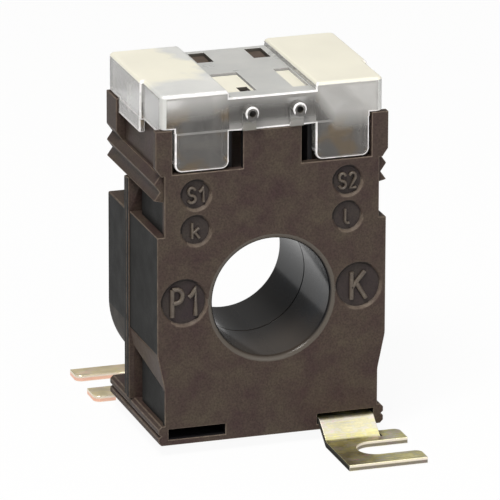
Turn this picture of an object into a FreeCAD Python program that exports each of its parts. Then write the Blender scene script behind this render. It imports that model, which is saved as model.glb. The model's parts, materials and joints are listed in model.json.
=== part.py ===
import FreeCAD, Part
import os
import re

import Sketcher

# Current transformer for a round cable, 45 mm wide, on two clip-in mounting feet.
# Every piece is drawn in the housing's own directions: x to the right, y from the
# front face to the back, z up from the housing's underside. Millimetres throughout.

SIZES = {
    # housing as a whole
    "depth": 30.6,
    "foot_drop": 2.0,
    "front_wall": 1.8,
    "rear_wall": 1.5,
    "seam_depth": 18.2,
    "seam_gap": 0.1,
    "rim_width": 1.2,
    "edge_room": 3.4,
    # cable bore and the ring-shaped cavity round it
    "bore_r": 11.3,
    "bore_round": 1.0,
    "liner_wall": 1.3,
    "liner_front": 15.2,
    "core_space": 1.6,
    "core_thickness": 2.8,
    "cavity_space": 1.9,
    # front outline
    "base_height": 3.8,
    "base_inset": 0.5,
    "cavity_lift": 3.95,
    "waist_height": 7.0,
    "waist_depth": 1.4,
    "taper_height": 6.8,
    "bulge_inset": 0.3,
    "shoulder_drop": 6.4,
    "roof_wall": 1.05,
    "outline_round": 5.0,
    # bevels of the base and the groove along its sides
    "base_bevel": 0.6,
    "groove_height": 1.9,
    "groove_half": 0.4,
    "groove_depth": 0.5,
    # side panels and the channel in front of the seam
    "panel_front": 1.3,
    "panel_depth": 0.3,
    "panel_rise": 3.6,
    "channel_width": 3.2,
    "channel_depth": 1.3,
    # snap ribs along both sides of the terminal block
    "rib_depth": 1.1,
    "rib_pitch": 3.15,
    "rib_first": 0.4,
    "rib_setback": 1.0,
    # terminal block
    "block_floor": 2.9,
    "wall_height": 12.8,
    "front_plate": 1.6,
    "side_step": 1.8,
    "side_wall": 1.4,
    "pillar_rise": 1.0,
    "rear_pillar": 6.2,
    "rear_pillar_rise": 0.3,
    "block_rear_wall": 1.5,
    "window_inner": 5.6,
    "sill_height": 2.5,
    "well_half": 7.2,
    "well_step": 1.0,
    "partition": 0.95,
    # marks
    "mark_depth": 0.7,
    "mark_bevel": 0.5,
    "small_mark_r": 2.6,
    "large_mark_r": 4.1,
    "rear_mark_r": 3.4,
    "small_mark_inset": 4.55,
    "large_mark_inset": 5.5,
    "upper_mark_drop": 4.3,
    "mark_spacing": 6.8,
    "large_mark_rise": 0.65,
    # slots for the feet
    "slot_inner": 8.9,
    "slot_inset": 1.95,
    "slot_floor": 1.1,
    "slot_height": 2.0,
    "slot_length": 9.0,
    # rear cap
    "flange_thickness": 1.5,
    "drum_inset": 0.1,
    "drum_gap": 0.6,
    "drum_round": 15.0,
    "drum_edge": 0.9,
    # core and winding
    "core_end_gap": 2.25,
    "cup_wall": 0.4,
    "cup_gap": 0.1,
    "cup_lip_gap": 0.3,
    "winding_wall": 0.6,
    "winding_gap": 0.1,
    "tape_wall": 0.25,
    "tape_gap": 0.05,
    # terminals
    "plate_to_seam": 1.0,
    "post_width": 7.8,
    "post_front": 4.3,
    "post_height": 4.5,
    "plate_width": 8.8,
    "plate_front": 3.9,
    "plate_back": 5.3,
    "plate_thickness": 1.2,
    "tail_width": 4.0,
    "tail_length": 5.0,
    "passage_gap": 0.5,
    "clamp_width": 8.2,
    "clamp_thickness": 1.2,
    "clamp_corner": 1.0,
    "lock_r": 3.7,
    "lock_thickness": 0.8,
    "lock_slit": 0.7,
    "head_r": 3.9,
    "head_height": 2.6,
    "head_round": 0.7,
    "drive_width": 1.1,
    "drive_depth": 1.4,
    "cross_length": 4.4,
    "thread_r": 2.0,
    "thread_gap": 0.05,
    "hole_gap": 0.15,
    "bore_gap": 0.4,
    "thread_beyond_nut": 1.2,
    "screw_point": 0.5,
    "nut_width": 7.0,
    "nut_height": 3.2,
    "nut_gap": 0.1,
    "nut_bevel": 0.4,
    "lead_r": 0.6,
    "lead_gap": 0.2,
    # cover
    "cover_wall": 1.2,
    "cover_gap": 0.1,
    "cover_inset_front": 1.05,
    "cover_inset_rear": 0.4,
    "cover_step": 10.8,
    "cover_height": 7.6,
    "bridge_drop": 1.4,
    "bridge_half": 8.3,
    "bridge_lap": 0.1,
    "cover_round": 0.7,
    "cover_corner": 1.2,
    "tab_side_gap": 0.5,
    "tab_foot_gap": 0.3,
    "tab_round": 1.4,
    "tab_return": 5.2,
    "tab_lip": 2.0,
    "ear_front": 11.3,
    "ear_drop": 2.4,
    "front_notch": 1.9,
    "eyelet_x": 4.55,
    "eyelet_drop": 2.7,
    "eyelet_r": 1.3,
    "eyelet_hole_r": 0.65,
    "eyelet_reach": 2.2,
    "eyelet_rib": 0.4,
    "left_tray_inner": 2.0,
    "right_tray_inner": 5.0,
    "tray_outer": 8.0,
    "tray_front": 3.4,
    "tray_back": 15.2,
    "tray_depth": 0.5,
    "vent_inner": 3.9,
    "vent_outer": 7.1,
    "vent_length": 6.0,
    "vent_inset": 1.7,
    "key_inner": 2.6,
    "key_outer": 4.6,
    "key_front": 4.3,
    "key_length": 3.2,
    "leg_half": 3.4,
    "leg_front": 1.9,
    "leg_drop": 4.8,
    # mounting feet
    "foot_metal": 1.2,
    "foot_side_gap": 0.2,
    "tongue_length": 8.0,
    "prong_reach": 4.65,
    "step_start": 0.45,
    "step_length": 4.2,
    "heel_reach": 1.5,
    "near_prong": 5.2,
    "far_prong": 4.2,
    "fork_width": 7.0,
    "fork_depth": 11.0,
    "fork_round": 3.4,
    "tip_round": 1.3,
    "heel_gap": 0.5,
    "bend_r": 1.5,
    "dimple_r": 1.5,
    "dimple_height": 0.6,
    "dimple_inset": 4.2,
}

# Sizes and places that follow from those above
PLACES = {
    "core_in": "bore_r + liner_wall + core_space",
    "core_out": "core_in + core_thickness",
    "cavity_r": "core_out + cavity_space",
    "half_width": "cavity_r + edge_room",
    "base_half": "half_width - base_inset",
    "bulge_half": "half_width - bulge_inset",
    "waist_half": "bulge_half - waist_depth",
    "upper_half": "waist_half",
    "bore_height": "base_height + cavity_lift + cavity_r",
    "waist_top": "base_height + waist_height",
    "taper_top": "waist_top + taper_height",
    "block_bottom": "bore_height + cavity_r + roof_wall",
    "shoulder_height": "block_bottom - shoulder_drop",
    "wall_top": "block_bottom + wall_height",
    "inner_top": "wall_top - 2 * cover_gap",
    "block_top": "wall_top + pillar_rise",
    "rear_pillar_top": "wall_top + rear_pillar_rise",
    "side_outer": "half_width - side_step",
    "side_inner": "side_outer - side_wall",
    "chamber_inner": "well_half + partition",
    "chamber_floor": "block_bottom + block_floor",
    "well_floor": "chamber_floor + well_step",
    "window_sill": "chamber_floor + sill_height",
    "seat_height": "chamber_floor + post_height",
    "terminal_y": "seam_depth - plate_to_seam - plate_back",
    "terminal_x": "(chamber_inner + side_inner) / 2",
    "clamp_seat": "seat_height + plate_thickness",
    "lock_seat": "clamp_seat + clamp_thickness",
    "head_seat": "lock_seat + lock_thickness",
    "screw_length": "head_seat - seat_height + nut_height + thread_beyond_nut",
    "tail_bottom": "chamber_floor - tail_length",
    "passage_bottom": "bore_height + sqrt(cavity_r * cavity_r - terminal_x * terminal_x) - passage_gap",
    "small_mark_x": "side_inner - small_mark_inset",
    "large_mark_x": "half_width - large_mark_inset",
    "upper_mark_z": "window_sill - upper_mark_drop",
    "lower_mark_z": "upper_mark_z - mark_spacing",
    "large_mark_z": "bore_height + large_mark_rise",
    "slot_outer": "base_half - slot_inset",
    "slot_roof": "slot_floor + slot_height",
    "drum_half": "half_width - drum_inset",
    "drum_bottom": "base_height + drum_gap",
    "build_up": "cup_gap + cup_wall + winding_gap + winding_wall + tape_gap + tape_wall",
    "core_length": "depth - front_wall - rear_wall - 2 * (build_up + core_end_gap)",
    "core_front": "(depth + front_wall - rear_wall - core_length) / 2",
    "core_back": "core_front + core_length",
    "cover_half_front": "half_width - cover_inset_front",
    "cover_half_rear": "half_width - cover_inset_rear",
    "cover_bottom": "wall_top + cover_gap",
    "cover_top": "wall_top + cover_height",
    "bridge_top": "cover_top - bridge_drop",
    "bridge_under": "bridge_top - cover_wall",
    "bridge_bottom": "wall_top - bridge_lap",
    "tab_outer": "side_inner - tab_side_gap",
    "tab_bottom": "window_sill + tab_foot_gap",
    "ear_bottom": "wall_top - ear_drop",
    "leg_bottom": "wall_top - leg_drop",
    "eyelet_height": "bridge_top - eyelet_drop",
    "foot_inner": "slot_inner + foot_side_gap",
    "tongue_outer": "slot_outer - foot_side_gap",
    "foot_outer": "tongue_outer + prong_reach",
    "fork_start": "foot_outer - fork_depth",
    "step_end": "step_start + step_length",
    "fork_near": "heel_reach + near_prong",
    "fork_far": "fork_near + fork_width",
    "foot_reach": "fork_far + far_prong",
}

SIZE_NAME = re.compile(r"[a-z_]+")

doc = FreeCAD.newDocument("current_transformer")
sheet = doc.addObject("Spreadsheet::Sheet", "Sizes")
rows = [(name, str(number)) for name, number in SIZES.items()]
rows += [(name, "=" + text) for name, text in PLACES.items()]
for row, (name, content) in enumerate(rows, start=1):
    sheet.set("A%d" % row, name)
    sheet.set("B%d" % row, content)
    sheet.setAlias("B%d" % row, name)
doc.recompute()

pieces = []
cuts_that_missed = []


# Formulas over the named sizes

def formula(text):
    """Write each size name in the text as a reference to the sheet."""
    def reference(found):
        word = found.group()
        return "Sizes." + word if word in SIZES or word in PLACES else word
    return SIZE_NAME.sub(reference, text)


def value(text):
    """The number that a formula stands for now."""
    return float(sheet.evalExpression(formula(text)))


def bind(thing, name, text):
    thing.setExpression(name, formula(text))


# Bodies, sketches and features

def new_body(name):
    body = doc.addObject("PartDesign::Body", name)
    body.Label = name
    pieces.append(body)
    return body


def place(piece, x="0", y="0", z="0", turned=False):
    """Stand a piece in the finished part: origin under the middle of the housing."""
    if turned:
        piece.Placement = FreeCAD.Placement(FreeCAD.Vector(), FreeCAD.Rotation(FreeCAD.Vector(0, 0, 1), 180))
        bind(piece, "Placement.Base.y", "depth / 2 - (%s)" % y)
    else:
        bind(piece, "Placement.Base.y", "(%s) - depth / 2" % y)
    bind(piece, "Placement.Base.x", x)
    bind(piece, "Placement.Base.z", "(%s) + foot_drop" % z)


def new_sketch(body, name, plane, level="0"):
    """A sketch square to an axis, at a distance along that axis."""
    sketch = body.newObject("Sketcher::SketchObject", "%s_%s_sketch" % (body.Name, name))
    origin_plane = [item for item in body.Origin.OriginFeatures if item.Role == plane][0]
    sketch.AttachmentSupport = [(origin_plane, "")]
    sketch.MapMode = "FlatFace"
    sign = "-" if plane == "XZ_Plane" else ""
    bind(sketch, "AttachmentOffset.Base.z", "%s(%s)" % (sign, level))
    return sketch


def fix(sketch, kind, *where_and_text):
    """Add one dimension and tie it to a formula."""
    where = where_and_text[:-1]
    text = where_and_text[-1]
    index = sketch.addConstraint(Sketcher.Constraint(kind, *where, value(text)))
    bind(sketch, "Constraints[%d]" % index, text)


def draw_polygon(sketch, corners):
    """A closed outline whose corners are pairs of formulas."""
    first = sketch.GeometryCount
    points = [FreeCAD.Vector(value(across), value(up), 0) for across, up in corners]
    count = len(points)
    for index in range(count):
        sketch.addGeometry(Part.LineSegment(points[index], points[(index + 1) % count]))
    for index in range(count):
        here = first + index
        following = first + (index + 1) % count
        sketch.addConstraint(Sketcher.Constraint("Coincident", here, 2, following, 1))
    for index, (across, up) in enumerate(corners):
        fix(sketch, "DistanceX", -1, 1, first + index, 1, across)
        fix(sketch, "DistanceY", -1, 1, first + index, 1, up)


def draw_rectangle(sketch, left, right, low, high):
    draw_polygon(sketch, [(left, low), (right, low), (right, high), (left, high)])


def draw_circle(sketch, across, up, radius):
    centre = FreeCAD.Vector(value(across), value(up), 0)
    circle = sketch.addGeometry(Part.Circle(centre, FreeCAD.Vector(0, 0, 1), value(radius)))
    fix(sketch, "DistanceX", -1, 1, circle, 3, across)
    fix(sketch, "DistanceY", -1, 1, circle, 3, up)
    fix(sketch, "Radius", circle, radius)


def both_sides(right_side):
    """Close a right-hand outline, given upwards, with its mirror image."""
    left_side = [("-(%s)" % across, up) for across, up in reversed(right_side)]
    return right_side + left_side


def grow(body, name, sketch, plane, length, forward=True):
    """Pad a sketch along its axis, or against it."""
    pad = body.newObject("PartDesign::Pad", "%s_%s" % (body.Name, name))
    pad.Profile = sketch
    bind(pad, "Length", length)
    pad.Reversed = forward if plane == "XZ_Plane" else not forward
    doc.recompute()
    return pad


def cut(body, name, sketch, plane, length, forward=True):
    """Pocket a sketch along its axis, or against it, and note a cut that misses."""
    before = body.Tip.Shape.Volume
    pocket = body.newObject("PartDesign::Pocket", "%s_%s" % (body.Name, name))
    pocket.Profile = sketch
    bind(pocket, "Length", length)
    pocket.Reversed = not forward if plane == "XZ_Plane" else forward
    doc.recompute()
    if not pocket.Shape.Volume < before:
        cuts_that_missed.append(pocket.Name)
    return pocket


def solid_box(body, name, x_range, y_range, z_range):
    """Add a block given by its range along each axis."""
    sketch = new_sketch(body, name, "XY_Plane", z_range[0])
    draw_rectangle(sketch, x_range[0], x_range[1], y_range[0], y_range[1])
    return grow(body, name, sketch, "XY_Plane", "(%s) - (%s)" % (z_range[1], z_range[0]))


def cut_box(body, name, x_range, y_range, z_range):
    """Take away a block given by its range along each axis."""
    sketch = new_sketch(body, name, "XY_Plane", z_range[0])
    draw_rectangle(sketch, x_range[0], x_range[1], y_range[0], y_range[1])
    return cut(body, name, sketch, "XY_Plane", "(%s) - (%s)" % (z_range[1], z_range[0]))


def cut_pair(body, name, x_range, y_range, z_range):
    """The same cut on the right and on the left."""
    sketch = new_sketch(body, name, "XY_Plane", z_range[0])
    draw_rectangle(sketch, x_range[0], x_range[1], y_range[0], y_range[1])
    draw_rectangle(sketch, "-(%s)" % x_range[1], "-(%s)" % x_range[0], y_range[0], y_range[1])
    return cut(body, name, sketch, "XY_Plane", "(%s) - (%s)" % (z_range[1], z_range[0]))


def solid_pair(body, name, x_range, y_range, z_range):
    """The same block on the right and on the left."""
    sketch = new_sketch(body, name, "XY_Plane", z_range[0])
    draw_rectangle(sketch, x_range[0], x_range[1], y_range[0], y_range[1])
    draw_rectangle(sketch, "-(%s)" % x_range[1], "-(%s)" % x_range[0], y_range[0], y_range[1])
    return grow(body, name, sketch, "XY_Plane", "(%s) - (%s)" % (z_range[1], z_range[0]))


def dress_edges(body, name, kind, size, wanted):
    """Round (Fillet) or bevel (Chamfer) the edges of a body for which wanted(edge) is true."""
    base = body.Tip
    names = ["Edge%d" % (index + 1) for index, edge in enumerate(base.Shape.Edges) if wanted(edge)]
    if not names:
        cuts_that_missed.append("%s_%s" % (body.Name, name))
        return None
    feature = body.newObject("PartDesign::" + kind, "%s_%s" % (body.Name, name))
    feature.Base = (base, names)
    bind(feature, "Radius" if kind == "Fillet" else "Size", size)
    doc.recompute()
    return feature


def near(first, second):
    return abs(first - second) < 0.01


def is_straight_along(edge, axis):
    """True for a straight edge that runs along x, y or z."""
    if len(edge.Vertexes) != 2 or not isinstance(edge.Curve, Part.Line):
        return False
    direction = edge.Curve.Direction
    return abs(abs(getattr(direction, axis)) - 1) < 1e-6


def lies_in(edge, axis, level):
    """True for an edge in the plane square to the axis at that level."""
    return all(near(getattr(vertex.Point, axis), level) for vertex in edge.Vertexes)


# Case: front plate, side walls, base and terminal block in one moulding

def trunk_outline():
    """Front outline up to the terminal block."""
    return both_sides([
        ("waist_half", "0"),
        ("waist_half", "waist_top"),
        ("bulge_half", "taper_top"),
        ("bulge_half", "shoulder_height"),
        ("upper_half", "shoulder_height"),
        ("upper_half", "block_bottom + rib_first"),
    ])


def base_outline():
    """Section of the base, with its bevels and the groove along its sides."""
    return both_sides([
        ("base_half - base_bevel", "0"),
        ("base_half", "base_bevel"),
        ("base_half", "groove_height - groove_half"),
        ("base_half - groove_depth", "groove_height"),
        ("base_half", "groove_height + groove_half"),
        ("base_half", "base_height - base_bevel"),
        ("base_half - base_bevel", "base_height"),
    ])


def block_outline():
    """Section of the terminal block, with two snap ribs down each side."""
    corners = [("upper_half", "block_bottom")]
    for rib in range(3):
        tip = "block_bottom + rib_first + %d * rib_pitch" % rib
        corners.append(("half_width", tip))
        if rib < 2:
            corners.append(("half_width - rib_depth", tip + " + rib_pitch / 2"))
    corners.append(("half_width", "block_top"))
    return both_sides(corners)


def hollow_terminal_block(case):
    """Two terminal chambers, the latch well between them and their windows."""
    cut_box(case, "inner_level", ("-side_inner", "side_inner"), ("-1", "depth + 1"), ("inner_top", "block_top + 1"))
    rear_of_chamber = "depth - block_rear_wall"
    cut_pair(case, "chambers", ("chamber_inner", "side_inner"), ("front_plate", rear_of_chamber),
             ("chamber_floor", "block_top"))
    cut_box(case, "latch_well", ("-well_half", "well_half"), ("front_plate", rear_of_chamber),
            ("well_floor", "block_top"))
    cut_pair(case, "front_windows", ("window_inner", "side_inner"), ("-1", "front_plate + 0.1"),
             ("window_sill", "block_top"))
    cut_pair(case, "wire_entries", ("chamber_inner", "side_inner"), ("depth - block_rear_wall - 0.1", "depth + 1"),
             ("window_sill", "block_top"))


def trim_terminal_block(case):
    """Side walls set back between the corner pillars, and the ribs' front ends."""
    pillar_start = "depth - rear_pillar"
    wall_foot = "block_bottom + rib_first + 1.5 * rib_pitch"
    cut_pair(case, "side_walls", ("side_outer", "half_width + 1"), ("front_plate", pillar_start),
             (wall_foot, "block_top + 1"))
    cut_pair(case, "wall_tops", ("side_inner - 0.5", "half_width + 1"), ("front_plate", pillar_start),
             ("wall_top", "block_top + 1"))
    cut_pair(case, "rear_pillar_tops", ("side_inner - 0.5", "half_width + 1"), (pillar_start, "depth + 1"),
             ("rear_pillar_top", "block_top + 1"))
    cut_pair(case, "rib_front_ends", ("upper_half", "half_width + 1"), ("-1", "rib_setback"),
             ("block_bottom - 0.5", "block_bottom + rib_first + 1.5 * rib_pitch"))


def sink_side_panels(case):
    """Shallow side panels above and below the bulge, and the deeper channel behind them."""
    upper_panel = [
        ("panel_front", "shoulder_height"),
        ("seam_depth + 1", "shoulder_height"),
        ("seam_depth + 1", "block_bottom"),
        ("panel_front", "block_bottom"),
    ]
    lower_panel = [
        ("panel_front", "base_height"),
        ("seam_depth + 1", "base_height"),
        ("seam_depth + 1", "waist_top + panel_rise"),
        ("panel_front", "waist_top"),
    ]
    channel_front = "seam_depth - channel_width"
    upper_channel = [
        (channel_front, "shoulder_height"),
        ("seam_depth + 1", "shoulder_height"),
        ("seam_depth + 1", "block_bottom"),
        (channel_front, "block_bottom"),
    ]
    lower_channel = [
        (channel_front, "base_height"),
        ("seam_depth + 1", "base_height"),
        ("seam_depth + 1", "waist_top + panel_rise - 1"),
        (channel_front, "waist_top + panel_rise - 1.5"),
    ]
    cuts = [
        ("upper_panel", upper_panel, "upper_half - panel_depth"),
        ("lower_panel", lower_panel, "waist_half - panel_depth"),
        ("upper_channel", upper_channel, "upper_half - channel_depth"),
        ("lower_channel", lower_channel, "waist_half - channel_depth"),
    ]
    for name, corners, wall in cuts:
        for side, sign in (("right", ""), ("left", "-")):
            label = "%s_%s" % (name, side)
            sketch = new_sketch(case, label, "YZ_Plane", "%s(%s)" % (sign, wall))
            draw_polygon(sketch, corners)
            cut(case, label, sketch, "YZ_Plane", "5", forward=side == "right")


def add_seam_rim(case):
    """Raised rim along both sides at the case's open end, against the cap's flange."""
    solid_pair(case, "seam_rim", ("cavity_r + 0.2", "half_width"), ("seam_depth - rim_width", "seam_depth"),
               ("base_height - 0.1", "block_bottom + 0.1"))


def add_terminal_posts(case):
    """Posts under the terminals, each with a nut pocket, a screw bore and a lead passage."""
    half_width = "post_width / 2"
    post_x = ("terminal_x - " + half_width, "terminal_x + " + half_width)
    post_y = ("terminal_y - post_front", "terminal_y + plate_back - plate_thickness - nut_gap")
    solid_pair(case, "posts", post_x, post_y, ("chamber_floor - 0.5", "seat_height"))
    half_pocket = "(nut_width / 2 + nut_gap)"
    cut_pair(case, "nut_pockets", ("terminal_x - " + half_pocket, "terminal_x + " + half_pocket),
             ("terminal_y - " + half_pocket, "terminal_y + " + half_pocket),
             ("seat_height - nut_height - nut_gap", "seat_height + 0.1"))
    sketch = new_sketch(case, "screw_bores", "XY_Plane", "seat_height")
    for sign in ("", "-"):
        draw_circle(sketch, sign + "terminal_x", "terminal_y", "thread_r + bore_gap")
    cut(case, "screw_bores", sketch, "XY_Plane", "nut_height + thread_beyond_nut + 2 * bore_gap", forward=False)
    tail_back = "terminal_y + plate_back"
    cut_pair(case, "lead_passages",
             ("terminal_x - tail_width / 2 - passage_gap", "terminal_x + tail_width / 2 + passage_gap"),
             (tail_back + " - plate_thickness - passage_gap / 2", tail_back + " + passage_gap / 2"),
             ("passage_bottom", "chamber_floor + 0.1"))


def open_core_cavity(case):
    """Round cavity for the wound core, entered from the seam, and the cable bore."""
    cavity = new_sketch(case, "cavity", "XZ_Plane", "front_wall")
    draw_circle(cavity, "0", "bore_height", "cavity_r")
    draw_circle(cavity, "0", "bore_height", "bore_r + liner_wall")
    cut(case, "cavity", cavity, "XZ_Plane", "seam_depth - front_wall + 1")
    bore = new_sketch(case, "bore", "XZ_Plane", "-1")
    draw_circle(bore, "0", "bore_height", "bore_r")
    cut(case, "bore", bore, "XZ_Plane", "seam_depth + 3")
    liner_end = new_sketch(case, "liner_end", "XZ_Plane", "liner_front")
    draw_circle(liner_end, "0", "bore_height", "bore_r + liner_wall + 0.1")
    cut(case, "liner_end", liner_end, "XZ_Plane", "seam_depth - liner_front + 1")
    dress_edges(case, "bore_rim", "Fillet", "bore_round",
                lambda edge: lies_in(edge, "y", 0) and hasattr(edge.Curve, "Radius")
                and near(edge.Curve.Radius, value("bore_r")))


def sink_marks(body, name, level, forward, marks):
    """Round recesses that take the terminal and direction marks."""
    sketch = new_sketch(body, name, "XZ_Plane", level)
    for across, up, radius in marks:
        draw_circle(sketch, across, up, radius)
    cut(body, name, sketch, "XZ_Plane", "mark_depth", forward=forward)
    radii = set(value(radius) for across, up, radius in marks)
    dress_edges(body, name + "_rims", "Chamfer", "mark_bevel",
                lambda edge: lies_in(edge, "y", value(level)) and hasattr(edge.Curve, "Radius")
                and any(near(edge.Curve.Radius, radius) for radius in radii))


def cut_foot_slots(case):
    """Four flat slots in the base, two at the front and two at the back."""
    cut_pair(case, "front_slots", ("slot_inner", "slot_outer"), ("-1", "slot_length"),
             ("slot_floor", "slot_roof"))
    cut_pair(case, "rear_slots", ("slot_inner", "slot_outer"), ("depth - slot_length", "depth + 1"),
             ("slot_floor", "slot_roof"))


def make_case():
    case = new_body("case")
    trunk = new_sketch(case, "trunk", "XZ_Plane")
    draw_polygon(trunk, trunk_outline())
    grow(case, "trunk", trunk, "XZ_Plane", "seam_depth")
    bends = ("waist_top", "taper_top")
    dress_edges(case, "taper_rounds", "Fillet", "outline_round",
                lambda edge: is_straight_along(edge, "y")
                and any(lies_in(edge, "z", value(bend)) for bend in bends))
    base = new_sketch(case, "base", "XZ_Plane")
    draw_polygon(base, base_outline())
    grow(case, "base", base, "XZ_Plane", "depth")
    block = new_sketch(case, "block", "XZ_Plane")
    draw_polygon(block, block_outline())
    grow(case, "block", block, "XZ_Plane", "depth")
    sink_side_panels(case)
    add_seam_rim(case)
    open_core_cavity(case)
    hollow_terminal_block(case)
    trim_terminal_block(case)
    add_terminal_posts(case)
    small_marks = [(sign + "small_mark_x", height, "small_mark_r")
                   for sign in ("", "-") for height in ("upper_mark_z", "lower_mark_z")]
    large_marks = [(sign + "large_mark_x", "large_mark_z", "large_mark_r") for sign in ("", "-")]
    sink_marks(case, "front_marks", "0", True, small_marks + large_marks)
    cut_foot_slots(case)
    place(case)
    return case


# Rear cap: flange and drum over the back half of the core

def make_rear_cap():
    cap = new_body("rear_cap")
    flange = new_sketch(cap, "flange", "XZ_Plane", "seam_depth")
    draw_rectangle(flange, "-half_width", "half_width", "base_height + seam_gap", "block_bottom - seam_gap")
    grow(cap, "flange", flange, "XZ_Plane", "flange_thickness")
    drum = new_sketch(cap, "drum", "XZ_Plane", "seam_depth")
    draw_rectangle(drum, "-drum_half", "drum_half", "drum_bottom", "shoulder_height")
    grow(cap, "drum", drum, "XZ_Plane", "depth - seam_depth")
    dress_edges(cap, "drum_corners", "Fillet", "drum_round",
                lambda edge: is_straight_along(edge, "y") and lies_in(edge, "z", value("drum_bottom")))
    dress_edges(cap, "drum_edge", "Fillet", "drum_edge",
                lambda edge: lies_in(edge, "y", value("depth")))
    cavity = new_sketch(cap, "cavity", "XZ_Plane", "depth - rear_wall")
    draw_circle(cavity, "0", "bore_height", "cavity_r")
    cut(cap, "cavity", cavity, "XZ_Plane", "depth - rear_wall - seam_depth + 1", forward=False)
    liner = new_sketch(cap, "liner", "XZ_Plane", "liner_front + seam_gap")
    draw_circle(liner, "0", "bore_height", "bore_r + liner_wall")
    grow(cap, "liner", liner, "XZ_Plane", "depth - rear_wall / 2 - liner_front - seam_gap")
    bore = new_sketch(cap, "bore", "XZ_Plane", "0")
    draw_circle(bore, "0", "bore_height", "bore_r")
    cut(cap, "bore", bore, "XZ_Plane", "depth + 1")
    dress_edges(cap, "bore_rim", "Fillet", "bore_round",
                lambda edge: lies_in(edge, "y", value("depth")) and hasattr(edge.Curve, "Radius")
                and near(edge.Curve.Radius, value("bore_r")))
    sink_marks(cap, "rear_marks", "depth", False,
               [(sign + "large_mark_x", "large_mark_z", "rear_mark_r") for sign in ("", "-")])
    place(cap)
    return cap


# Core, insulating cups, winding and tape: rings turned about the bore axis

def make_ring(name, outline, hole=None):
    """Turn a section, given as (distance behind the front face, radius), about the bore."""
    body = new_body(name)
    sketch = new_sketch(body, "section", "YZ_Plane")
    draw_polygon(sketch, outline)
    if hole:
        draw_polygon(sketch, hole)
    ring = body.newObject("PartDesign::Revolution", name + "_ring")
    ring.Profile = sketch
    ring.ReferenceAxis = (sketch, ["H_Axis"])
    ring.Angle = 360
    place(body, z="bore_height")
    return body


def rectangle_section(front, back, inner, outer):
    return [(front, inner), (back, inner), (back, outer), (front, outer)]


def section_round_core(thickness):
    """Outline at that distance outside the core's own section."""
    return rectangle_section("core_front - (%s)" % thickness, "core_back + (%s)" % thickness,
                             "core_in - (%s)" % thickness, "core_out + (%s)" % thickness)


def make_core_parts():
    make_ring("core", rectangle_section("core_front", "core_back", "core_in", "core_out"))
    for name, end, toward in (("core_cup_front", "core_front", "-"), ("core_cup_rear", "core_back", "+")):
        away = "+" if toward == "-" else "-"
        inside = "%s %s cup_gap" % (end, toward)
        outside = "%s %s cup_gap %s cup_wall" % (end, toward, toward)
        lip = "%s %s (core_length / 2 - cup_lip_gap / 2)" % (end, away)
        make_ring(name, [
            (outside, "core_in - cup_gap - cup_wall"),
            (lip, "core_in - cup_gap - cup_wall"),
            (lip, "core_in - cup_gap"),
            (inside, "core_in - cup_gap"),
            (inside, "core_out + cup_gap"),
            (lip, "core_out + cup_gap"),
            (lip, "core_out + cup_gap + cup_wall"),
            (outside, "core_out + cup_gap + cup_wall"),
        ])
    over_cups = "cup_gap + cup_wall + winding_gap"
    over_winding = over_cups + " + winding_wall"
    make_ring("secondary_winding", section_round_core(over_winding), section_round_core(over_cups))
    make_ring("winding_tape", section_round_core("build_up"), section_round_core("build_up - tape_wall"))


# Terminals: plate with solder tail, nut, clamp, lock washer and screw on each side

def make_terminal_plate(name, x):
    plate = new_body(name)
    half = "plate_width / 2"
    solid_box(plate, "top", ("-" + half, half), ("-plate_front", "plate_back"), ("0", "plate_thickness"))
    solid_box(plate, "tail", ("-tail_width / 2", "tail_width / 2"), ("plate_back - plate_thickness", "plate_back"),
              ("tail_bottom - seat_height", "plate_thickness"))
    dress_edges(plate, "bend", "Fillet", "plate_thickness * 0.9",
                lambda edge: is_straight_along(edge, "x") and lies_in(edge, "y", value("plate_back"))
                and lies_in(edge, "z", value("plate_thickness")))
    hole = new_sketch(plate, "hole", "XY_Plane", "-1")
    draw_circle(hole, "0", "0", "thread_r + hole_gap")
    cut(plate, "hole", hole, "XY_Plane", "plate_thickness + 2")
    place(plate, x, "terminal_y", "seat_height")


def make_terminal_nut(name, x):
    nut = new_body(name)
    half = "nut_width / 2"
    solid_box(nut, "blank", ("-" + half, half), ("-" + half, half), ("0", "nut_height"))
    dress_edges(nut, "corners", "Chamfer", "nut_bevel", lambda edge: is_straight_along(edge, "z"))
    hole = new_sketch(nut, "thread", "XY_Plane", "-1")
    draw_circle(hole, "0", "0", "thread_r + thread_gap")
    cut(nut, "thread", hole, "XY_Plane", "nut_height + 2")
    place(nut, x, "terminal_y", "seat_height - nut_height")


def make_clamp_plate(name, x):
    clamp = new_body(name)
    half = "clamp_width / 2"
    solid_box(clamp, "blank", ("-" + half, half), ("-" + half, half), ("0", "clamp_thickness"))
    dress_edges(clamp, "corners", "Chamfer", "clamp_corner", lambda edge: is_straight_along(edge, "z"))
    hole = new_sketch(clamp, "hole", "XY_Plane", "-1")
    draw_circle(hole, "0", "0", "thread_r + hole_gap")
    cut(clamp, "hole", hole, "XY_Plane", "clamp_thickness + 2")
    place(clamp, x, "terminal_y", "clamp_seat")


def make_lock_washer(name, x):
    ring = doc.addObject("Part::Cylinder", name + "_ring")
    bind(ring, "Radius", "lock_r")
    bind(ring, "Height", "lock_thickness")
    hole = doc.addObject("Part::Cylinder", name + "_hole")
    bind(hole, "Radius", "thread_r + hole_gap")
    bind(hole, "Height", "lock_thickness")
    closed_ring = doc.addObject("Part::Cut", name + "_closed")
    closed_ring.Base = ring
    closed_ring.Tool = hole
    slit = doc.addObject("Part::Box", name + "_slit")
    bind(slit, "Length", "lock_r + 1")
    bind(slit, "Width", "lock_slit")
    bind(slit, "Height", "lock_thickness")
    bind(slit, "Placement.Base.y", "-lock_slit / 2")
    washer = doc.addObject("Part::Cut", name)
    washer.Label = name
    washer.Base = closed_ring
    washer.Tool = slit
    pieces.append(washer)
    place(washer, x, "terminal_y", "lock_seat")


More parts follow.
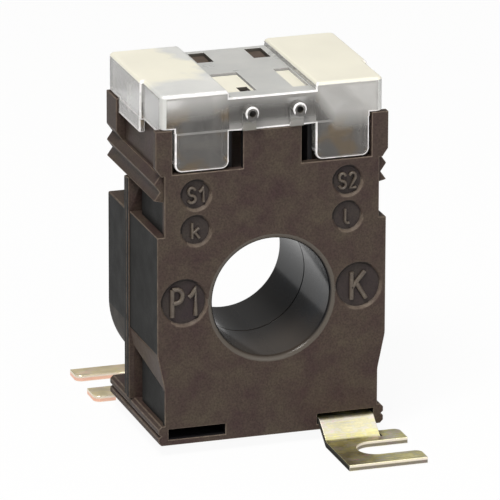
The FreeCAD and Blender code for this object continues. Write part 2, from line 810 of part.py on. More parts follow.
def make_terminal_screw(name, x):
    """Pan-head screw with a combined slot and cross, drawn from the underside of its head."""
    screw = new_body(name)
    section = new_sketch(screw, "section", "XZ_Plane")
    draw_polygon(section, [
        ("0", "-screw_length"),
        ("thread_r - screw_point", "-screw_length"),
        ("thread_r", "screw_point - screw_length"),
        ("thread_r", "0"),
        ("head_r", "0"),
        ("head_r", "head_height"),
        ("0", "head_height"),
    ])
    turned = screw.newObject("PartDesign::Revolution", name + "_turned")
    turned.Profile = section
    turned.ReferenceAxis = (section, ["V_Axis"])
    turned.Angle = 360
    doc.recompute()
    dress_edges(screw, "head_round", "Fillet", "head_round",
                lambda edge: lies_in(edge, "z", value("head_height")) and hasattr(edge.Curve, "Radius"))
    drive_floor = "head_height - drive_depth"
    cut_box(screw, "slot", ("-head_r - 1", "head_r + 1"), ("-drive_width / 2", "drive_width / 2"),
            (drive_floor, "head_height + 1"))
    cut_box(screw, "cross", ("-drive_width / 2", "drive_width / 2"), ("-cross_length / 2", "cross_length / 2"),
            (drive_floor, "head_height + 1"))
    place(screw, x, "terminal_y", "head_seat")


def make_lead(name, x):
    """Straight end of the winding wire, soldered to the foot of the terminal's tail."""
    lead = doc.addObject("Part::Cylinder", name)
    lead.Label = name
    pieces.append(lead)
    bind(lead, "Radius", "lead_r")
    tape_r = "(core_out + build_up + lead_gap)"
    foot = "bore_height + sqrt(%s * %s - (terminal_x - lead_r) * (terminal_x - lead_r))" % (tape_r, tape_r)
    bind(lead, "Height", "tail_bottom - (%s)" % foot)
    place(lead, x, "terminal_y + plate_back - plate_thickness / 2", foot)


# Terminal cover: translucent, with two raised blocks, front tabs, side ears and seal eyelets

def make_cover():
    cover = new_body("terminal_cover")
    shell = new_sketch(cover, "shell", "XY_Plane", "cover_bottom")
    draw_polygon(shell, [
        ("-cover_half_front", "0"),
        ("cover_half_front", "0"),
        ("cover_half_front", "cover_step"),
        ("cover_half_rear", "cover_step"),
        ("cover_half_rear", "depth"),
        ("-cover_half_rear", "depth"),
        ("-cover_half_rear", "cover_step"),
        ("-cover_half_front", "cover_step"),
    ])
    grow(cover, "shell", shell, "XY_Plane", "cover_top - cover_bottom")
    dress_edges(cover, "upright_corners", "Fillet", "cover_corner",
                lambda edge: is_straight_along(edge, "z")
                and (lies_in(edge, "y", 0) or lies_in(edge, "y", value("depth"))))
    cut_box(cover, "bridge_level", ("-bridge_half", "bridge_half"), ("-1", "depth + 1"),
            ("bridge_top", "cover_top + 1"))
    dress_edges(cover, "top_rounds", "Fillet", "cover_round",
                lambda edge: all(near(vertex.Z, value("cover_top")) for vertex in edge.Vertexes))
    inner_half = "cover_half_front - cover_wall"
    cut_box(cover, "inside", ("-(%s)" % inner_half, inner_half), ("cover_wall", "depth - cover_wall"),
            ("cover_bottom - 1", "bridge_under"))
    cut_pair(cover, "block_inside", ("bridge_half + cover_wall", inner_half), ("cover_wall", "depth - cover_wall"),
             ("bridge_under - 0.1", "cover_top - cover_wall"))
    add_cover_tabs(cover)
    notch_cover_for_pillars(cover)
    add_bridge_details(cover)
    add_eyelets(cover)
    place(cover)
    return cover


def add_cover_tabs(cover):
    """Front tabs with their side returns, the ears at the sides and the latch leg."""
    tab_x = ("bridge_half", "tab_outer")
    solid_pair(cover, "front_tabs", tab_x, ("0", "cover_wall"), ("tab_bottom", "cover_bottom + 0.5"))
    dress_edges(cover, "tab_corners", "Fillet", "tab_round",
                lambda edge: is_straight_along(edge, "y") and lies_in(edge, "z", value("tab_bottom")))
    solid_pair(cover, "inner_returns", ("bridge_half", "bridge_half + cover_wall"), ("0.6", "cover_wall + tab_return"),
               ("tab_bottom + tab_round", "bridge_under + 0.1"))
    solid_pair(cover, "outer_returns", ("tab_outer - cover_wall", "tab_outer"), ("0.6", "cover_wall + tab_lip"),
               ("tab_bottom + tab_round", "cover_bottom + 1.5"))
    solid_pair(cover, "side_ears", ("side_outer + 2 * cover_gap", "cover_half_rear"),
               ("ear_front", "depth - rear_pillar - cover_gap"), ("ear_bottom", "cover_bottom + 0.5"))
    solid_box(cover, "latch_leg", ("-leg_half", "leg_half"), ("leg_front", "leg_front + cover_wall"),
              ("leg_bottom", "bridge_under + 0.1"))
    solid_box(cover, "bridge_front", ("-bridge_half", "bridge_half"), ("0", "cover_wall"),
              ("bridge_bottom", "bridge_under"))


def notch_cover_for_pillars(cover):
    """Clear the cover's lower edge of the four corner pillars."""
    cut_pair(cover, "front_notches", ("tab_outer + cover_gap", "half_width + 1"), ("-1", "front_notch"),
             ("cover_bottom - 1", "block_top + cover_gap"))
    cut_pair(cover, "rear_notches", ("side_inner - 0.5", "half_width + 1"),
             ("depth - rear_pillar - cover_gap", "depth + 1"),
             ("cover_bottom - 1", "rear_pillar_top + cover_gap"))


def add_bridge_details(cover):
    """Shallow trays, latch vents and the key hole in the bridge between the blocks."""
    tray_y = ("tray_front", "tray_back")
    tray_z = ("bridge_top - tray_depth", "bridge_top + 1")
    cut_box(cover, "left_tray", ("-tray_outer", "-left_tray_inner"), tray_y, tray_z)
    cut_box(cover, "right_tray", ("right_tray_inner", "tray_outer"), tray_y, tray_z)
    cut_pair(cover, "vents", ("vent_inner", "vent_outer"), ("depth - vent_inset - vent_length", "depth - vent_inset"),
             ("bridge_under - 0.2", "bridge_top + 1"))
    cut_box(cover, "key_hole", ("-key_outer", "-key_inner"), ("key_front", "key_front + key_length"),
            ("bridge_under - 0.2", "bridge_top + 1"))


def add_eyelets(cover):
    """Two short tubes on the front of the bridge that take the seal wire."""
    ribs = new_sketch(cover, "eyelet_ribs", "XZ_Plane")
    for left, right in (("eyelet_x - eyelet_r", "eyelet_x + eyelet_r"),
                        ("-eyelet_x - eyelet_r", "-eyelet_x + eyelet_r")):
        draw_rectangle(ribs, left, right, "bridge_bottom", "eyelet_height")
    grow(cover, "eyelet_ribs", ribs, "XZ_Plane", "eyelet_rib", forward=False)
    tubes = new_sketch(cover, "eyelets", "XZ_Plane")
    for sign in ("", "-"):
        draw_circle(tubes, sign + "eyelet_x", "eyelet_height", "eyelet_r")
    grow(cover, "eyelets", tubes, "XZ_Plane", "eyelet_reach", forward=False)
    holes = new_sketch(cover, "eyelet_holes", "XZ_Plane", "-eyelet_reach - 1")
    for sign in ("", "-"):
        draw_circle(holes, sign + "eyelet_x", "eyelet_height", "eyelet_hole_r")
    cut(cover, "eyelet_holes", holes, "XZ_Plane", "eyelet_reach + 1 + cover_wall + 0.2")


# Mounting feet: stepped sheet-metal forks that push into the slots of the base

def foot_side_view():
    """Side view of the bent sheet: tongue in the slot, step down, plate on the floor."""
    tongue_top = "slot_floor + foot_metal"
    plate_top = "foot_metal - foot_drop"
    return [
        ("tongue_length", "slot_floor"),
        ("tongue_length", tongue_top),
        ("-step_start", tongue_top),
        ("-step_end", plate_top),
        ("-foot_reach", plate_top),
        ("-foot_reach", "-foot_drop"),
        ("-step_end + foot_metal * 0.32", "-foot_drop"),
        ("-step_start + foot_metal * 0.32", "slot_floor"),
    ]


def make_foot(name, turned):
    foot = new_body(name)
    side = new_sketch(foot, "side_view", "YZ_Plane", "foot_inner")
    draw_polygon(side, foot_side_view())
    grow(foot, "sheet", side, "YZ_Plane", "tongue_outer - foot_inner")
    dress_edges(foot, "outer_bend", "Fillet", "bend_r",
                lambda edge: is_straight_along(edge, "x")
                and lies_in(edge, "y", value("-step_start")) and lies_in(edge, "z", value("slot_floor + foot_metal")))
    dress_edges(foot, "lower_bend", "Fillet", "bend_r",
                lambda edge: is_straight_along(edge, "x")
                and lies_in(edge, "y", value("-step_end")) and lies_in(edge, "z", value("foot_metal - foot_drop")))
    plate_z = ("-foot_drop", "foot_metal - foot_drop")
    solid_box(foot, "fork_plate", ("tongue_outer - 1", "foot_outer"), ("-foot_reach", "-step_end"), plate_z)
    solid_box(foot, "near_prong", ("tongue_outer + heel_gap", "foot_outer"), ("-step_end - 0.1", "-heel_reach"),
              plate_z)
    fork = new_sketch(foot, "fork", "XY_Plane", "-foot_drop - 1")
    draw_rectangle(fork, "fork_start", "foot_outer + 1", "-fork_far", "-fork_near")
    cut(foot, "fork", fork, "XY_Plane", "foot_metal + 2")
    dress_edges(foot, "fork_end", "Fillet", "fork_round",
                lambda edge: is_straight_along(edge, "z") and lies_in(edge, "x", value("fork_start")))
    rounded = [value("-heel_reach"), value("-fork_far")]
    dress_edges(foot, "tip_rounds", "Fillet", "tip_round",
                lambda edge: is_straight_along(edge, "z") and lies_in(edge, "x", value("foot_outer"))
                and any(lies_in(edge, "y", level) for level in rounded))
    dimple = new_sketch(foot, "dimple", "XY_Plane", "slot_floor + foot_metal / 2")
    draw_circle(dimple, "(foot_inner + tongue_outer) / 2", "dimple_inset", "dimple_r")
    grow(foot, "dimple", dimple, "XY_Plane", "foot_metal / 2 + dimple_height")
    dress_edges(foot, "dimple_crown", "Chamfer", "dimple_height * 0.8",
                lambda edge: hasattr(edge.Curve, "Radius") and near(edge.Curve.Radius, value("dimple_r"))
                and lies_in(edge, "z", value("slot_floor + foot_metal + dimple_height")))
    place(foot, turned=turned)
    return foot


# Build every piece

make_case()
make_rear_cap()
make_core_parts()
for end, side in (("s1", "-"), ("s2", "")):
    position = side + "terminal_x"
    make_terminal_plate("terminal_plate_" + end, position)
    make_terminal_nut("terminal_nut_" + end, position)
    make_clamp_plate("clamp_plate_" + end, position)
    make_lock_washer("lock_washer_" + end, position)
    make_terminal_screw("terminal_screw_" + end, position)
    make_lead("winding_lead_" + end, position)
make_cover()
make_foot("foot_front", turned=False)
make_foot("foot_rear", turned=True)
doc.recompute()


# Check the document and write each piece

for item in doc.Objects:
    if "Invalid" in item.State or "Error" in item.State:
        raise RuntimeError("%s did not build: %s" % (item.Name, item.State))
if cuts_that_missed:
    raise RuntimeError("these features change nothing: " + ", ".join(cuts_that_missed))
for piece in pieces:
    if piece.Shape.isNull() or not piece.Shape.isValid():
        raise RuntimeError(piece.Label + " has no valid shape")

os.makedirs("parts", exist_ok=True)
for piece in pieces:
    piece.Shape.exportStep("parts/%s.step" % piece.Label)
    box = piece.Shape.BoundBox
    print("%-20s solids %d volume %9.1f  x %.2f to %.2f  y %.2f to %.2f  z %.2f to %.2f" % (
        piece.Label, len(piece.Shape.Solids), piece.Shape.Volume,
        box.XMin, box.XMax, box.YMin, box.YMax, box.ZMin, box.ZMax))
print(len(pieces), "pieces")
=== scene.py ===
# %% [markdown]
# # A small current transformer, piece by piece
#
# This lesson dresses a finished solid model for its portrait. The real thing clips together from a
# brown moulded case with a drum-shaped back, a frosted cover over two screw terminals, and two
# pressed steel feet. A round hole lets a cable pass through the middle.
#
# The solid model already has every piece at its true size. Here each piece gets what a solid
# model leaves out: softened edges, raised marks, threads and turns of wire, and finishes made only
# from shader nodes. Blender counts in metres, so sizes written in millimetres are multiplied by
# `MM`. The part stands on its feet at height zero.

import json
import math

import bmesh
import bpy
from mathutils import Matrix, Vector


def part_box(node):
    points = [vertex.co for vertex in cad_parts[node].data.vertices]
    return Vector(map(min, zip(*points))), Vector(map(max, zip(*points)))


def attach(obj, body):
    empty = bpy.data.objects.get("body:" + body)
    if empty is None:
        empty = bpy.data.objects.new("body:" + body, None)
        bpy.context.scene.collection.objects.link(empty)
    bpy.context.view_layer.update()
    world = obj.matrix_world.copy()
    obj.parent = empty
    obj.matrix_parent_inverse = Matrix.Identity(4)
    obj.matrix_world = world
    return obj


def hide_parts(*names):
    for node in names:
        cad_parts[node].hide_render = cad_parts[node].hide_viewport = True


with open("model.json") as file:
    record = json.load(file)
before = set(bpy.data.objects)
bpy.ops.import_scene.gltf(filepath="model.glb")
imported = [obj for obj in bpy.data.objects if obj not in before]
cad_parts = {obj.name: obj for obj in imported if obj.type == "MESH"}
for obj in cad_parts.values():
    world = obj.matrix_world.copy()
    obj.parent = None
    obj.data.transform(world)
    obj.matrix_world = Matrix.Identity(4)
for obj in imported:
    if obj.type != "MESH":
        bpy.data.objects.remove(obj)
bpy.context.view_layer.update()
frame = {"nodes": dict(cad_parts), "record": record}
MM = 0.001

# %% [markdown]
# ## The camera
#
# The photograph was taken with a long lens from the front left, a little above. A camera in
# Blender could be aimed by eye, but this one was solved from the straight edges of the housing:
# turn, tilt, distance and focal length come out together, so every edge of the render can be laid
# over the photograph.

# %% Place the camera where the photograph was taken from
turn, tilt, roll = math.radians(-18.118), math.radians(18.226), math.radians(0.173)
aim_point = Vector((-4.272, -15.3, 38.289)) * MM
distance = 1219 * MM
focal_pixels, photo_pixels = 6678.8, 500

toward_camera = Vector((math.sin(turn) * math.cos(tilt), -math.cos(turn) * math.cos(tilt),
                        math.sin(tilt)))
level_right = Vector((math.cos(turn), math.sin(turn), 0))
level_up = toward_camera.cross(level_right)
camera_right = level_right * math.cos(roll) + level_up * math.sin(roll)
camera_up = level_up * math.cos(roll) - level_right * math.sin(roll)

camera_data = bpy.data.cameras.new("portrait_camera")
camera_data.sensor_width = 36
camera_data.lens = focal_pixels / photo_pixels * camera_data.sensor_width
camera = bpy.data.objects.new("portrait_camera", camera_data)
bpy.context.scene.collection.objects.link(camera)
axes = Matrix((camera_right, camera_up, toward_camera)).transposed().to_4x4()
camera.matrix_world = Matrix.Translation(aim_point + toward_camera * distance) @ axes
bpy.context.scene.camera = camera
print("focal length", round(camera_data.lens), "mm")

# %% [markdown]
# ## Small helpers for shader nodes
#
# A node tree written line by line gets long. `add_node` makes one node, sets its plain values and
# joins its inputs in a single call: an input may be a number, a colour or another node's output.
# `add_piece` does the same service for a finished mesh.

# %% Helpers that make nodes
def set_inputs(tree, node, inputs):
    for name, value in inputs.items():
        socket = node.inputs[name]
        if isinstance(value, bpy.types.NodeSocket):
            tree.links.new(value, socket)
        else:
            socket.default_value = value
    return node


def add_node(tree, kind, inputs=None, **settings):
    node = tree.nodes.new(kind)
    for name, setting in settings.items():
        setattr(node, name, setting)
    return set_inputs(tree, node, inputs or {})


def blend_colours(tree, share, first, second, way="MIX"):
    return add_node(tree, "ShaderNodeMix", {0: share, 6: first, 7: second},
                    data_type="RGBA", blend_type=way).outputs[2]


def remap(tree, value, low, high, new_low=0.0, new_high=1.0):
    spread = {"Value": value, "From Min": low, "From Max": high, "To Min": new_low, "To Max": new_high}
    return add_node(tree, "ShaderNodeMapRange", spread).outputs[0]


def maths(tree, operation, first, second=0.0):
    return add_node(tree, "ShaderNodeMath", {0: first, 1: second}, operation=operation).outputs[0]


# %% Helpers that make groups and materials
def new_shader_group(name, inputs, outputs):
    """A group with named sockets: inputs as {name: default}, outputs as {name: kind}."""
    tree = bpy.data.node_groups.new(name, "ShaderNodeTree")
    for label, default in inputs.items():
        kind = "NodeSocketColor" if isinstance(default, tuple) else "NodeSocketFloat"
        socket = tree.interface.new_socket(label, in_out="INPUT", socket_type=kind)
        socket.default_value = default
    for label, kind in outputs.items():
        tree.interface.new_socket(label, in_out="OUTPUT", socket_type="NodeSocket" + kind)
    return tree, tree.nodes.new("NodeGroupInput"), tree.nodes.new("NodeGroupOutput")


def use_group(tree, group, **inputs):
    named = {name.replace("_", " "): value for name, value in inputs.items()}
    return add_node(tree, "ShaderNodeGroup", named, node_tree=group)


def new_material(name):
    material = bpy.data.materials.new(name)
    material.use_nodes = True
    tree = material.node_tree
    return material, tree, tree.nodes["Principled BSDF"]


# %% Helpers that read places and marks, and one that adds a piece
def millimetre_space(tree):
    """Object coordinates in millimetres, so that a texture's scale reads as features per millimetre."""
    place = add_node(tree, "ShaderNodeTexCoord").outputs["Object"]
    return add_node(tree, "ShaderNodeVectorMath", {0: place, "Scale": 1000.0},
                    operation="SCALE").outputs[0]


def place_along(tree):
    """The X, Y and Z of a point in millimetres, as three outputs."""
    return add_node(tree, "ShaderNodeSeparateXYZ", {0: millimetre_space(tree)}).outputs


def clouds_of(tree, per_mm, detail=3.0, rough=0.5):
    """Slow noise, counted in features per millimetre."""
    return add_node(tree, "ShaderNodeTexNoise", {
        "Vector": millimetre_space(tree), "Scale": per_mm, "Detail": detail, "Roughness": rough}).outputs[0]


def face_mark(tree, name):
    """How strongly a face carries a mark such as edge, pool, cut, side or deep."""
    return add_node(tree, "ShaderNodeAttribute", attribute_name=name).outputs["Fac"]


def bump(tree, height, distance):
    """Fine relief, with its height given in metres."""
    return add_node(tree, "ShaderNodeBump", {"Height": height, "Distance": distance}).outputs["Normal"]


def add_piece(name, mesh, body):
    """Put a mesh into the scene as a piece that rides on one body."""
    piece = bpy.data.objects.new(name, mesh)
    bpy.context.scene.collection.objects.link(piece)
    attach(piece, body)
    return piece


# %% [markdown]
# ## Effects that several finishes share
#
# Three effects turn up again and again: the fine grain that a spark-eroded mould leaves on plastic,
# edges lightened by a painted highlight mixed with wear, and the streaks of rolled sheet metal.
# Each could be copied from material to material. A node group is better, because it is built once
# and each material only sets its own strengths.

# %% The grain of a moulded surface
grain, grain_in, grain_out = new_shader_group(
    "moulded grain", {"Grain per mm": 3.0, "Patch per mm": 0.16}, {"Height": "Float", "Patch": "Float"})
space = millimetre_space(grain)
fine = add_node(grain, "ShaderNodeTexNoise", {
    "Vector": space, "Scale": grain_in.outputs["Grain per mm"], "Detail": 3.0, "Roughness": 0.55})
cells = add_node(grain, "ShaderNodeTexVoronoi", {
    "Vector": space, "Scale": grain_in.outputs["Grain per mm"]})
broad = add_node(grain, "ShaderNodeTexNoise", {
    "Vector": space, "Scale": grain_in.outputs["Patch per mm"], "Detail": 4.0, "Roughness": 0.6})
dimples = maths(grain, "MULTIPLY", cells.outputs["Distance"], 0.35)
uneven = maths(grain, "ADD", fine.outputs[0], dimples)
grain.links.new(uneven, grain_out.inputs["Height"])
grain.links.new(remap(grain, broad.outputs[0], 0.3, 0.7), grain_out.inputs["Patch"])
print("built", grain.name)


def grained_material(name, first, second, grain_per_mm, patch_per_mm):
    """A grained plastic of two colours: the material, its tree, shader, grain and mixed colour."""
    material, tree, shader = new_material(name)
    skin = use_group(tree, grain, Grain_per_mm=grain_per_mm, Patch_per_mm=patch_per_mm).outputs
    colour = blend_colours(tree, skin["Patch"], first, second)
    tree.links.new(colour, shader.inputs["Base Color"])
    return material, tree, shader, skin, colour


# %% Edges lightened by a painted highlight and wear
edge_light_and_wear_group, edge_light_and_wear_in, edge_light_and_wear_out = new_shader_group(
    "edge highlights and wear", {"Edge": 0.0, "Amount": 0.6}, {"Mask": "Float"})
# Noise breaks the painted highlight and wear on the edges into patches.
edge_patchiness = clouds_of(edge_light_and_wear_group, 0.7, 5.0, 0.7)
broken = remap(edge_light_and_wear_group, edge_patchiness, 0.35, 0.65, 0.35, 1.0)
strength = maths(edge_light_and_wear_group, "MULTIPLY", edge_light_and_wear_in.outputs["Edge"], edge_light_and_wear_in.outputs["Amount"])
edge_light_and_wear_group.links.new(maths(edge_light_and_wear_group, "MULTIPLY", broken, strength), edge_light_and_wear_out.inputs["Mask"])
print("built", edge_light_and_wear_group.name)


# Painted highlight and wear on every face that carries the edge mark.
def painted_edge_light_and_wear(tree, amount=0.6):
    return use_group(tree, edge_light_and_wear_group, Edge=face_mark(tree, "edge"), Amount=amount).outputs["Mask"]


# %% Streaks of rolled sheet and drawn bar
streaks, streaks_in, streaks_out = new_shader_group(
    "rolling streaks", {"Along X": 0.15, "Along Y": 5.0, "Along Z": 5.0},
    {"Height": "Float", "Patch": "Float"})
stretch = add_node(streaks, "ShaderNodeCombineXYZ", {
    number: streaks_in.outputs[label] for number, label in enumerate(("Along X", "Along Y", "Along Z"))})
stretched = add_node(streaks, "ShaderNodeVectorMath", {
    0: millimetre_space(streaks), 1: stretch.outputs[0]}, operation="MULTIPLY")
lines = add_node(streaks, "ShaderNodeTexNoise", {
    "Vector": stretched.outputs[0], "Scale": 1.0, "Detail": 3.0})
streaks.links.new(lines.outputs[0], streaks_out.inputs["Height"])
streaks.links.new(clouds_of(streaks, 0.35), streaks_out.inputs["Patch"])
print("built", streaks.name)

# %% [markdown]
# ## The brown housing plastic
#
# The case is glass-filled nylon: a warm dark brown with slightly redder and slightly greener
# patches. Outside it is matt and hardly mirrors anything, its smooth flanks least of all; the
# flanks are painted a dark grey, a painted shade. Inside the cable hole the mould core was
# polished, so the wall there mirrors the bright floor behind the part, and its lower part and
# mouth are painted lighter, a painted reflection and a painted highlight. The two surfaces differ
# in nearly every value, so they are two finishes.

# %% Housing plastic outside
BORE = next(mount for mount in frame["record"]["mounts"] if mount["name"] == "cable_bore")
BORE_HEIGHT, BORE_RADIUS = BORE["pos_m"][2], BORE["dims"]["r_mm"]
GRAIN_HEIGHT = 0.02 * MM
# A near-black colour of painted shade for the deep places.
PAINTED_SHADE_BLACK = (0.004, 0.005, 0.007, 1)


def matt_plastic():
    redder, greener = (0.040, 0.0235, 0.0225, 1), (0.059, 0.045, 0.033, 1)
    material, tree, shader, skin, colour = grained_material(
        "matt housing plastic", redder, greener, 2.6, 0.22)
    side = face_mark(tree, "side")
    speck = remap(tree, skin["Height"], 0.45, 0.85, 0.80, 1.20)
    colour = blend_colours(tree, 1.0, colour, speck, "MULTIPLY")
    # Painted shade: the floors of the round recesses are darkened.
    half_pool_shade = maths(tree, "MULTIPLY", face_mark(tree, "pool"), 0.5)
    colour = blend_colours(tree, half_pool_shade, colour, (0.016, 0.016, 0.020, 1))
    # Painted shade: the flanks are painted a dark grey.
    colour = blend_colours(tree, side, colour, (0.0145, 0.0143, 0.0137, 1))
    # Painted highlight and wear on the edges, the lit pool rims and the base grooves.
    colour = blend_colours(tree, painted_edge_light_and_wear(tree), colour, (0.20, 0.16, 0.125, 1))
    # Painted shade: near black in the channels, slots, windows and pool walls turned from the light.
    colour = blend_colours(tree, face_mark(tree, "deep"), colour, PAINTED_SHADE_BLACK)
    set_inputs(tree, shader, {
        "Base Color": colour, "Normal": bump(tree, skin["Height"], GRAIN_HEIGHT),
        "Roughness": remap(tree, skin["Patch"], 0.0, 1.0, 0.5, 0.6),
        "Specular IOR Level": remap(tree, side, 0.0, 1.0, 0.16, 0.07)})
    return material


# %% Housing plastic inside the hole
def polished_plastic():
    material, tree, shader, skin, colour = grained_material(
        "polished hole plastic", (0.005, 0.009, 0.014, 1), (0.020, 0.018, 0.017, 1), 1.2, 0.18)
    place = place_along(tree)
    up = maths(tree, "SUBTRACT", place["Z"], BORE_HEIGHT / MM)
    square_out = maths(tree, "ADD", maths(tree, "MULTIPLY", place["X"], place["X"]),
                       maths(tree, "MULTIPLY", up, up))
    # Painted reflection: the lower part of the hole is painted a lighter brown.
    low = remap(tree, up, -5.0, -10.0)
    colour = blend_colours(tree, low, colour, (0.042, 0.034, 0.028, 1))
    # Painted highlight: the rounded mouth of the hole is painted lighter.
    mouth = remap(tree, maths(tree, "SQRT", square_out), BORE_RADIUS + 0.1, BORE_RADIUS + 0.4)
    colour = blend_colours(tree, mouth, colour, (0.09, 0.078, 0.066, 1))
    set_inputs(tree, shader, {
        "Base Color": colour, "Specular IOR Level": 0.14,
        "Roughness": remap(tree, skin["Height"], 0.4, 0.9, 0.12, 0.2)})
    return material


matt_housing = matt_plastic()
polished_hole = polished_plastic()
print("the hole's axis is", round(BORE_HEIGHT / MM, 2), "mm above the panel")

# %% [markdown]
# ## The frosted cover plastic
#
# The cover is one clear moulding with six finishes. Its sides are nearly clear. The bridge is
# misty. The tops of the two blocks and the floors of the shallow trays were left rough in the
# mould and look milky; cream patches on them are painted light from the lamp above. Every edge
# is painted bright, a painted highlight for the light that a clear plastic gathers and gives back
# along its edges. The front lies over the dark case and is painted dark, a painted shade, with
# painted light toward its upper rim, along the bridge's lower rim and along a thin line below it.
# The walls of the small openings are painted dark, a painted shade.
#
# One mixed shader could do all this, but a separate finish for each surface keeps every glass
# value plain. Shadow rays pass partly, as light does in the real plastic.

# %% The recipe of the cover plastics
def cover_plastic(name, first, second, clear, rough, shade):
    material, tree, shader, skin, colour = grained_material(name, first, second, 0.5, 0.14)
    shadow = add_node(tree, "ShaderNodeLightPath").outputs["Is Shadow Ray"]
    set_inputs(tree, shader, {
        "Transmission Weight": clear, "IOR": 1.46,
        "Roughness": remap(tree, skin["Patch"], 0.0, 1.0, rough - 0.05, rough + 0.08),
        "Alpha": remap(tree, shadow, 0.0, 1.0, 1.0, shade)})
    return material, tree, shader, colour


# %% Cover finishes: sides, bridge, openings and edges
SIDE, BRIDGE, TOP, EDGE, DARK_FRONT, HOLE = range(6)

clear_side = cover_plastic(
    "clear cover side", (0.66, 0.66, 0.66, 1), (0.80, 0.79, 0.77, 1), 0.8, 0.2, 0.8)[0]
misty_bridge = cover_plastic(
    "misty cover bridge", (0.60, 0.61, 0.60, 1), (0.70, 0.70, 0.68, 1), 0.25, 0.3, 0.95)[0]
hole_wall = cover_plastic(
    "shaded hole wall", (0.05, 0.045, 0.04, 1), (0.08, 0.07, 0.06, 1), 0.0, 0.4, 1.0)[0]
# Painted highlight: the edges are painted pale, with painted glints in patches.
bright_edge, tree, shader, pale = cover_plastic(
    "bright cover edge", (0.62, 0.61, 0.61, 1), (0.86, 0.84, 0.84, 1), 0.0, 0.3, 0.8)
glints = remap(tree, clouds_of(tree, 0.8), 0.45, 0.6)
tree.links.new(blend_colours(tree, glints, pale, (0.93, 0.91, 0.92, 1)), shader.inputs["Base Color"])

# %% Cover finish: front over the dark case, painted dark with painted light toward its rims
BRIDGE_HALF = 8.3
# Painted shade: the front gets dark base colours.
dark_front, tree, shader, pale = cover_plastic(
    "cover front over the dark case", (0.12, 0.115, 0.11, 1), (0.20, 0.19, 0.18, 1), 0.6, 0.2, 0.95)
place = place_along(tree)
from_middle = maths(tree, "ABSOLUTE", place["X"])
on_tabs = maths(tree, "GREATER_THAN", from_middle, BRIDGE_HALF)
stained = maths(tree, "MULTIPLY", on_tabs, remap(tree, clouds_of(tree, 0.22), 0.5, 0.6))
stain = blend_colours(tree, stained, pale, (0.20, 0.15, 0.095, 1))
# Painted light: lighter toward the upper rim, sooner on the tabs and most on the right one, along the lower
# rim of the bridge and along a thin line at the shelf.
low_light = maths(tree, "ADD", remap(tree, place["X"], 8.0, 12.0, 0.0, 5.5),
                  remap(tree, place["X"], -8.0, -12.0, 0.0, 1.2))
rise = remap(tree, maths(tree, "ADD", place["Z"], low_light), 64.8, 68.8)
on_bridge = maths(tree, "LESS_THAN", from_middle, BRIDGE_HALF)
sill = maths(tree, "MULTIPLY", on_bridge, remap(tree, place["Z"], 63.4, 62.2, 0.0, 0.55))
shelf_height, shelf_reach = 61.55, 0.22
shelf = maths(tree, "COMPARE", place["Z"], shelf_height)
shelf.node.inputs[2].default_value = shelf_reach
below = maths(tree, "MAXIMUM", sill, maths(tree, "MULTIPLY", shelf, 0.45))
light = maths(tree, "MAXIMUM", below, rise)
tree.links.new(blend_colours(tree, light, stain, (0.72, 0.71, 0.69, 1)), shader.inputs["Base Color"])

# %% Cover finish: milky tops with cream patches of painted light
milky_top, tree, shader, pale = cover_plastic(
    "milky cover top", (0.66, 0.67, 0.66, 1), (0.78, 0.78, 0.76, 1), 0.15, 0.45, 0.9)
place = place_along(tree)
cloud = clouds_of(tree, 0.12)
wander = remap(tree, cloud, 0.3, 0.7, -3.5, 3.5)
across, back = (maths(tree, "ADD", place[axis], wander) for axis in "XY")
# Painted light: cream patches over the left block and over the middle and the right.
left_patch = maths(tree, "MULTIPLY", remap(tree, across, -12.5, -9.5, 1.0, 0.0),
                   remap(tree, back, -9.0, -5.0))
middle_and_right = remap(tree, place["X"], -8.4, -8.1)
cream_patch = maths(tree, "MAXIMUM", left_patch, middle_and_right)
cream = blend_colours(tree, cloud, (0.97, 0.94, 0.80, 1), (0.88, 0.85, 0.73, 1))
tree.links.new(blend_colours(tree, cream_patch, pale, cream), shader.inputs["Base Color"])
cover_finishes = [clear_side, misty_bridge, milky_top, bright_edge, dark_front, hole_wall]
print("cover finishes:", [finish.name for finish in cover_finishes])

# %% [markdown]
# ## Metals
#
# The feet are steel with a yellow passivated zinc skin. Its film is so thin that it breaks light
# into soft bands of straw, olive and pink. A colour ramp over slow noise imitates the bands. The
# screws and clamps have plain bright zinc, the contact plates are tinned brass.

